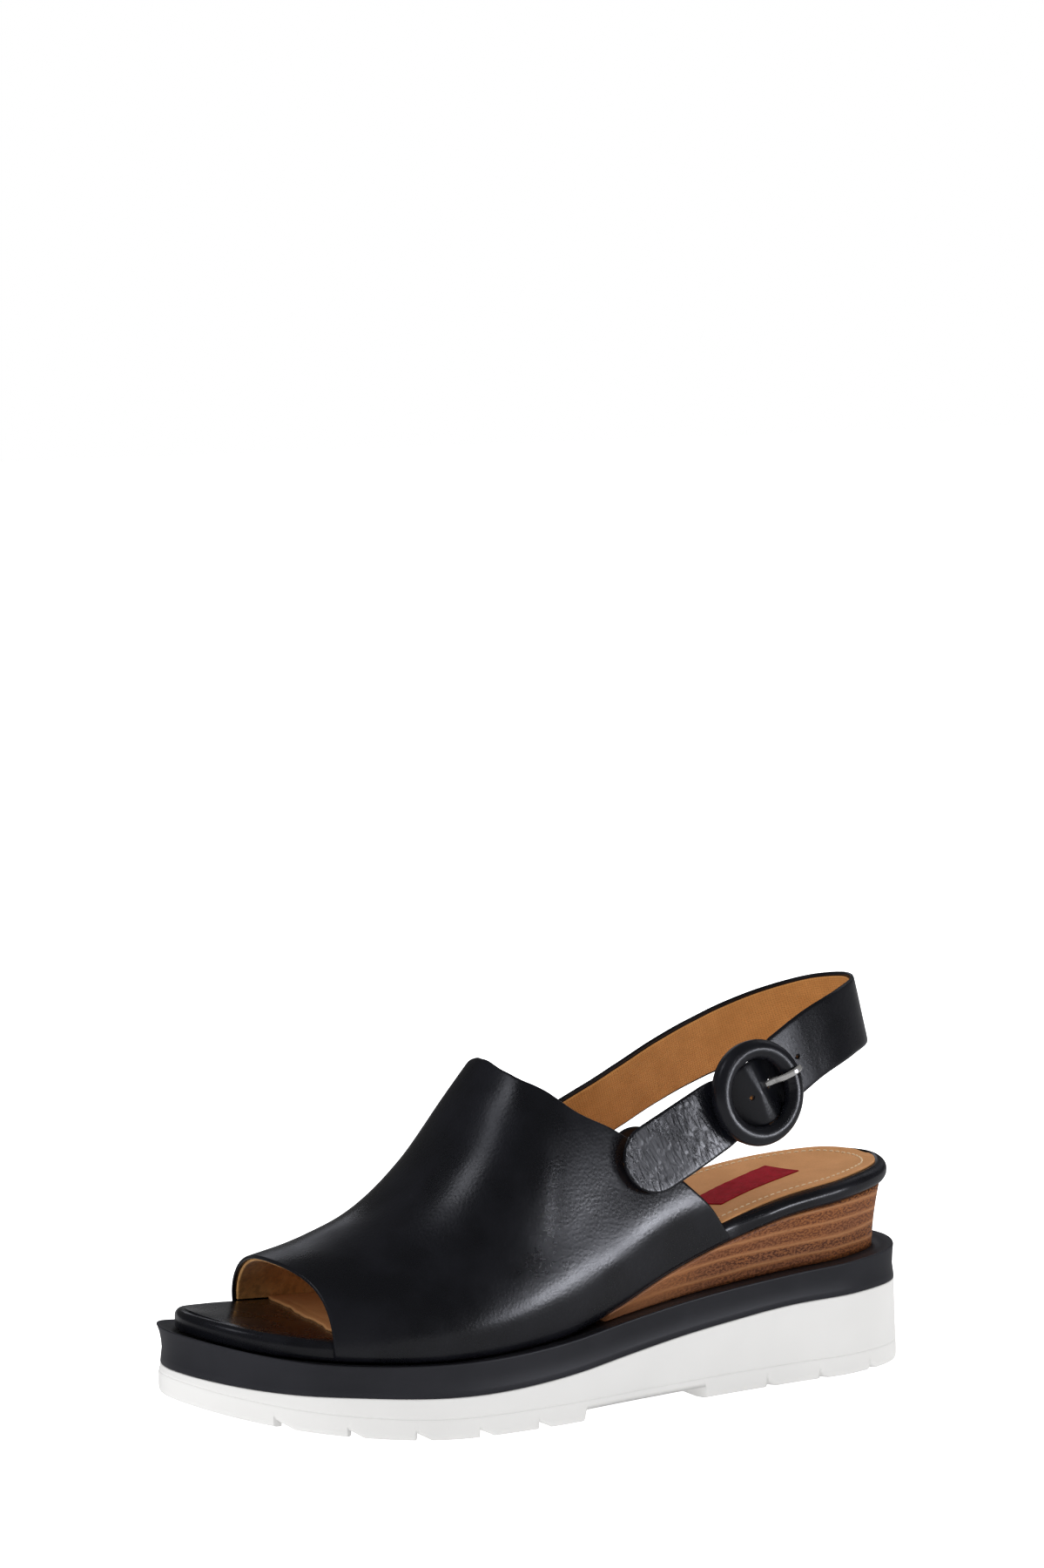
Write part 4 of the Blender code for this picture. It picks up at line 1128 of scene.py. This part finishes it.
def make_prong():
    """The prong, bent over the ring, and the sleeve it turns by on the bar."""
    rise = WRAP_R + GAP + 0.6
    bend = [(1.2, -2.3), (4.5, -2.2), (7.2, -0.7), (9.8, 2.5)]
    bend += [(13.3, rise + 0.1), (16.5, rise - 0.4)]
    half_w, half_t = PRONG_HALF
    rings, sides = 60, 16
    path = resample([(a, 0, r) for a, r in bend], rings)
    points, faces = [], []
    for i, (x, _, z) in enumerate(path):
        way = unit(path[min(i + 1, rings - 1)] - path[max(i - 1, 0)])
        up = np.array([-way[2], 0, way[0]])
        near = min(1.0, math.sqrt(max(0.02, 1 - max(0.0, (x - 15.6) / half_w) ** 2)))
        for c, n in circle(sides):
            flat = np.sign(c) * abs(c) ** 0.75 * half_w * near
            thick = np.sign(n) * abs(n) ** 0.75 * half_t * near
            groove = 0.14 * math.exp(-((c / 0.3) ** 2)) * (1 if n > 0 else 0) * near
            p = np.array([x, 0, z]) + flat * np.array([0, 1, 0]) + (thick - groove) * up
            points.append(tuple(at(*p)))
    for i in range(rings - 1):
        faces += band(i * sides, (i + 1) * sides, sides)
    first = len(points)
    faces += [tuple(range(sides)), tuple(range(first - sides, first))]
    inner_r, outer_r = BAR_R + 0.12, BAR_R + 0.95
    profile = [(inner_r, -1.6), (outer_r - 0.1, -1.7), (outer_r, -1.55)]
    profile += [(outer_r, 1.55), (outer_r - 0.1, 1.7), (inner_r, 1.6)]
    around = 32
    for c, n in circle(around):
        spoke = c * TO_HEEL + n * OUT
        points += [tuple(BAR + r * spoke + across * BAR_WAY) for r, across in profile]
    faces += hoop(around, len(profile), first)
    prong = add_mesh("prong_bar", points, faces, NICKEL)
    settle(prong, "prong", "silver", "buckle_prong")


make_outsole()
make_platform()
make_wedge()
make_footbed()
make_sock()
make_stitches()
make_tab()
make_upper()
make_upper_lining()
make_sling()
make_chape()
make_ring()
make_prong()

# The stage: a pale floor, soft lights and the camera.


def soft_light(name, place, target, size, power, colour=(1, 1, 1), fan=180):
    """A soft box; a fan below 180 degrees is a grid in front of it, as bright on its axis."""
    data = bpy.data.lights.new(name, "AREA")
    data.shape = "RECTANGLE"
    data.size, data.size_y = size
    data.energy = power
    if fan < 180:
        half = math.radians(fan / 2)
        data.spread = 2 * half
        data.energy = power * (1 - half / math.tan(half))
    data.color = colour
    lamp = add_object(name, data)
    lamp.location = place
    lamp.visible_camera = False
    way = Vector(target) - Vector(place)
    lamp.rotation_euler = way.to_track_quat("-Z", "Y").to_euler()
    return lamp


FLOOR_GLOW = 0.40
FLOOR_GLOW_SEEN = 0.55
FLOOR_GLOW_SEEN_IN_GLOSS = 0.15
SKY = 0.80
SKY_SEEN_IN_GLOSS = 0.06
COOL = (0.95, 0.97, 1.07)


def make_stage():
    look = Look("pale_floor", Specular_IOR_Level=0.0, Emission_Color=(1, 1, 1, 1))
    ray = look.add("LightPath")
    gloss = ray.outputs["Is Glossy Ray"]
    glow = look.math("MULTIPLY_ADD", gloss, FLOOR_GLOW_SEEN_IN_GLOSS - FLOOR_GLOW, FLOOR_GLOW)
    glow = look.math("MULTIPLY_ADD", ray.outputs["Is Camera Ray"], FLOOR_GLOW_SEEN, glow)
    put(look.tree, look.shader.inputs["Emission Strength"], glow)
    tone = look.noise(look.mm, 300.0, 2.0)
    colour = look.mix(look.fit(tone), (0.90, 0.90, 0.90), (0.92, 0.92, 0.92))
    colour = look.mix(gloss, colour, (0.16, 0.16, 0.17))
    look.finish(colour, look.fit(tone, 0.3, 0.7, 0.9, 0.95))
    reach, drop = 6.0, -0.0002
    mesh = bpy.data.meshes.new("floor")
    corners = [(x * reach, y * reach, drop) for x, y in ((-1, -1), (1, -1), (1, 1), (-1, 1))]
    mesh.from_pydata(corners, [], [(0, 1, 2, 3)])
    mesh.materials.append(look.material)
    floor = add_object("floor", mesh)

    world = bpy.data.worlds.new("studio")
    bpy.context.scene.world = world
    world.use_nodes = True
    tree = world.node_tree
    back = tree.nodes["Background"]
    back.inputs["Color"].default_value = (1, 1, 1, 1)
    path = tree.nodes.new("ShaderNodeLightPath")
    strength = SKY
    for ray, value in (("Is Glossy Ray", SKY_SEEN_IN_GLOSS), ("Is Camera Ray", 1.0)):
        pick = tree.nodes.new("ShaderNodeMix")
        for key, given in ((0, path.outputs[ray]), (2, strength), (3, value)):
            put(tree, pick.inputs[key], given)
        strength = pick.outputs[0]
    tree.links.new(strength, back.inputs["Strength"])

    for name, place, size, power in (
        ("rear_top_fill", (-0.39, 0.98, 0.80), (0.95, 0.7), 7),
        ("front_fill", (0.10, -0.95, 0.32), (0.7, 0.55), 1.7),
    ):
        soft_light(name, place, (0, 0, 0.05), size, power).visible_glossy = False
    for name, place, target, size, power, fan in (
        ("side_strip_front", (0.525, 0.291, 0.095), (0.044, -0.02, 0.040), (0.17, 0.10), 1.15, 24),
        ("side_strip_rear", (0.446, 0.401, 0.122), (0.037, 0.015, 0.054), (0.13, 0.10), 1.1, 22),
        ("rear_strip", (-0.39, 0.98, 0.80), (0, 0, 0.05), (0.4, 0.3), 1.6, 180),
        ("toe_top_strip", (-0.12, -0.72, 0.98), (0.02, -0.02, 0.10), (0.30, 0.30), 1.0, 40),
        ("tail_strip", (0.712, 0.245, 0.300), (0.038, 0.008, 0.074), (0.05, 0.05), 1.15, 5),
        ("ring_strip", (0.72, 0.28, 0.43), (0.038, 0.062, 0.100), (0.06, 0.06), 0.3, 6),
        ("back_strip", (-1.0, 0.37, 0.45), (0, -0.08, 0.05), (0.5, 0.2), 0.2, 180),
    ):
        soft_light(name, place, target, size, power, COOL, fan).visible_diffuse = False

    data = bpy.data.cameras.new("camera")
    data.lens = 120
    data.sensor_width = 36
    camera = add_object("camera", data)
    right = Vector((0.47855, 0.87798, -0.01154))
    up = Vector((-0.09073, 0.06251, 0.99391))
    away = Vector((0.87336, -0.47459, 0.10957))
    matrix = Matrix((right, up, away)).transposed().to_4x4()
    matrix.translation = Vector((1.4529, -0.7943, 0.3796))
    camera.matrix_world = matrix
    bpy.context.scene.camera = camera
    bpy.context.scene.view_settings.view_transform = "Standard"


make_stage()
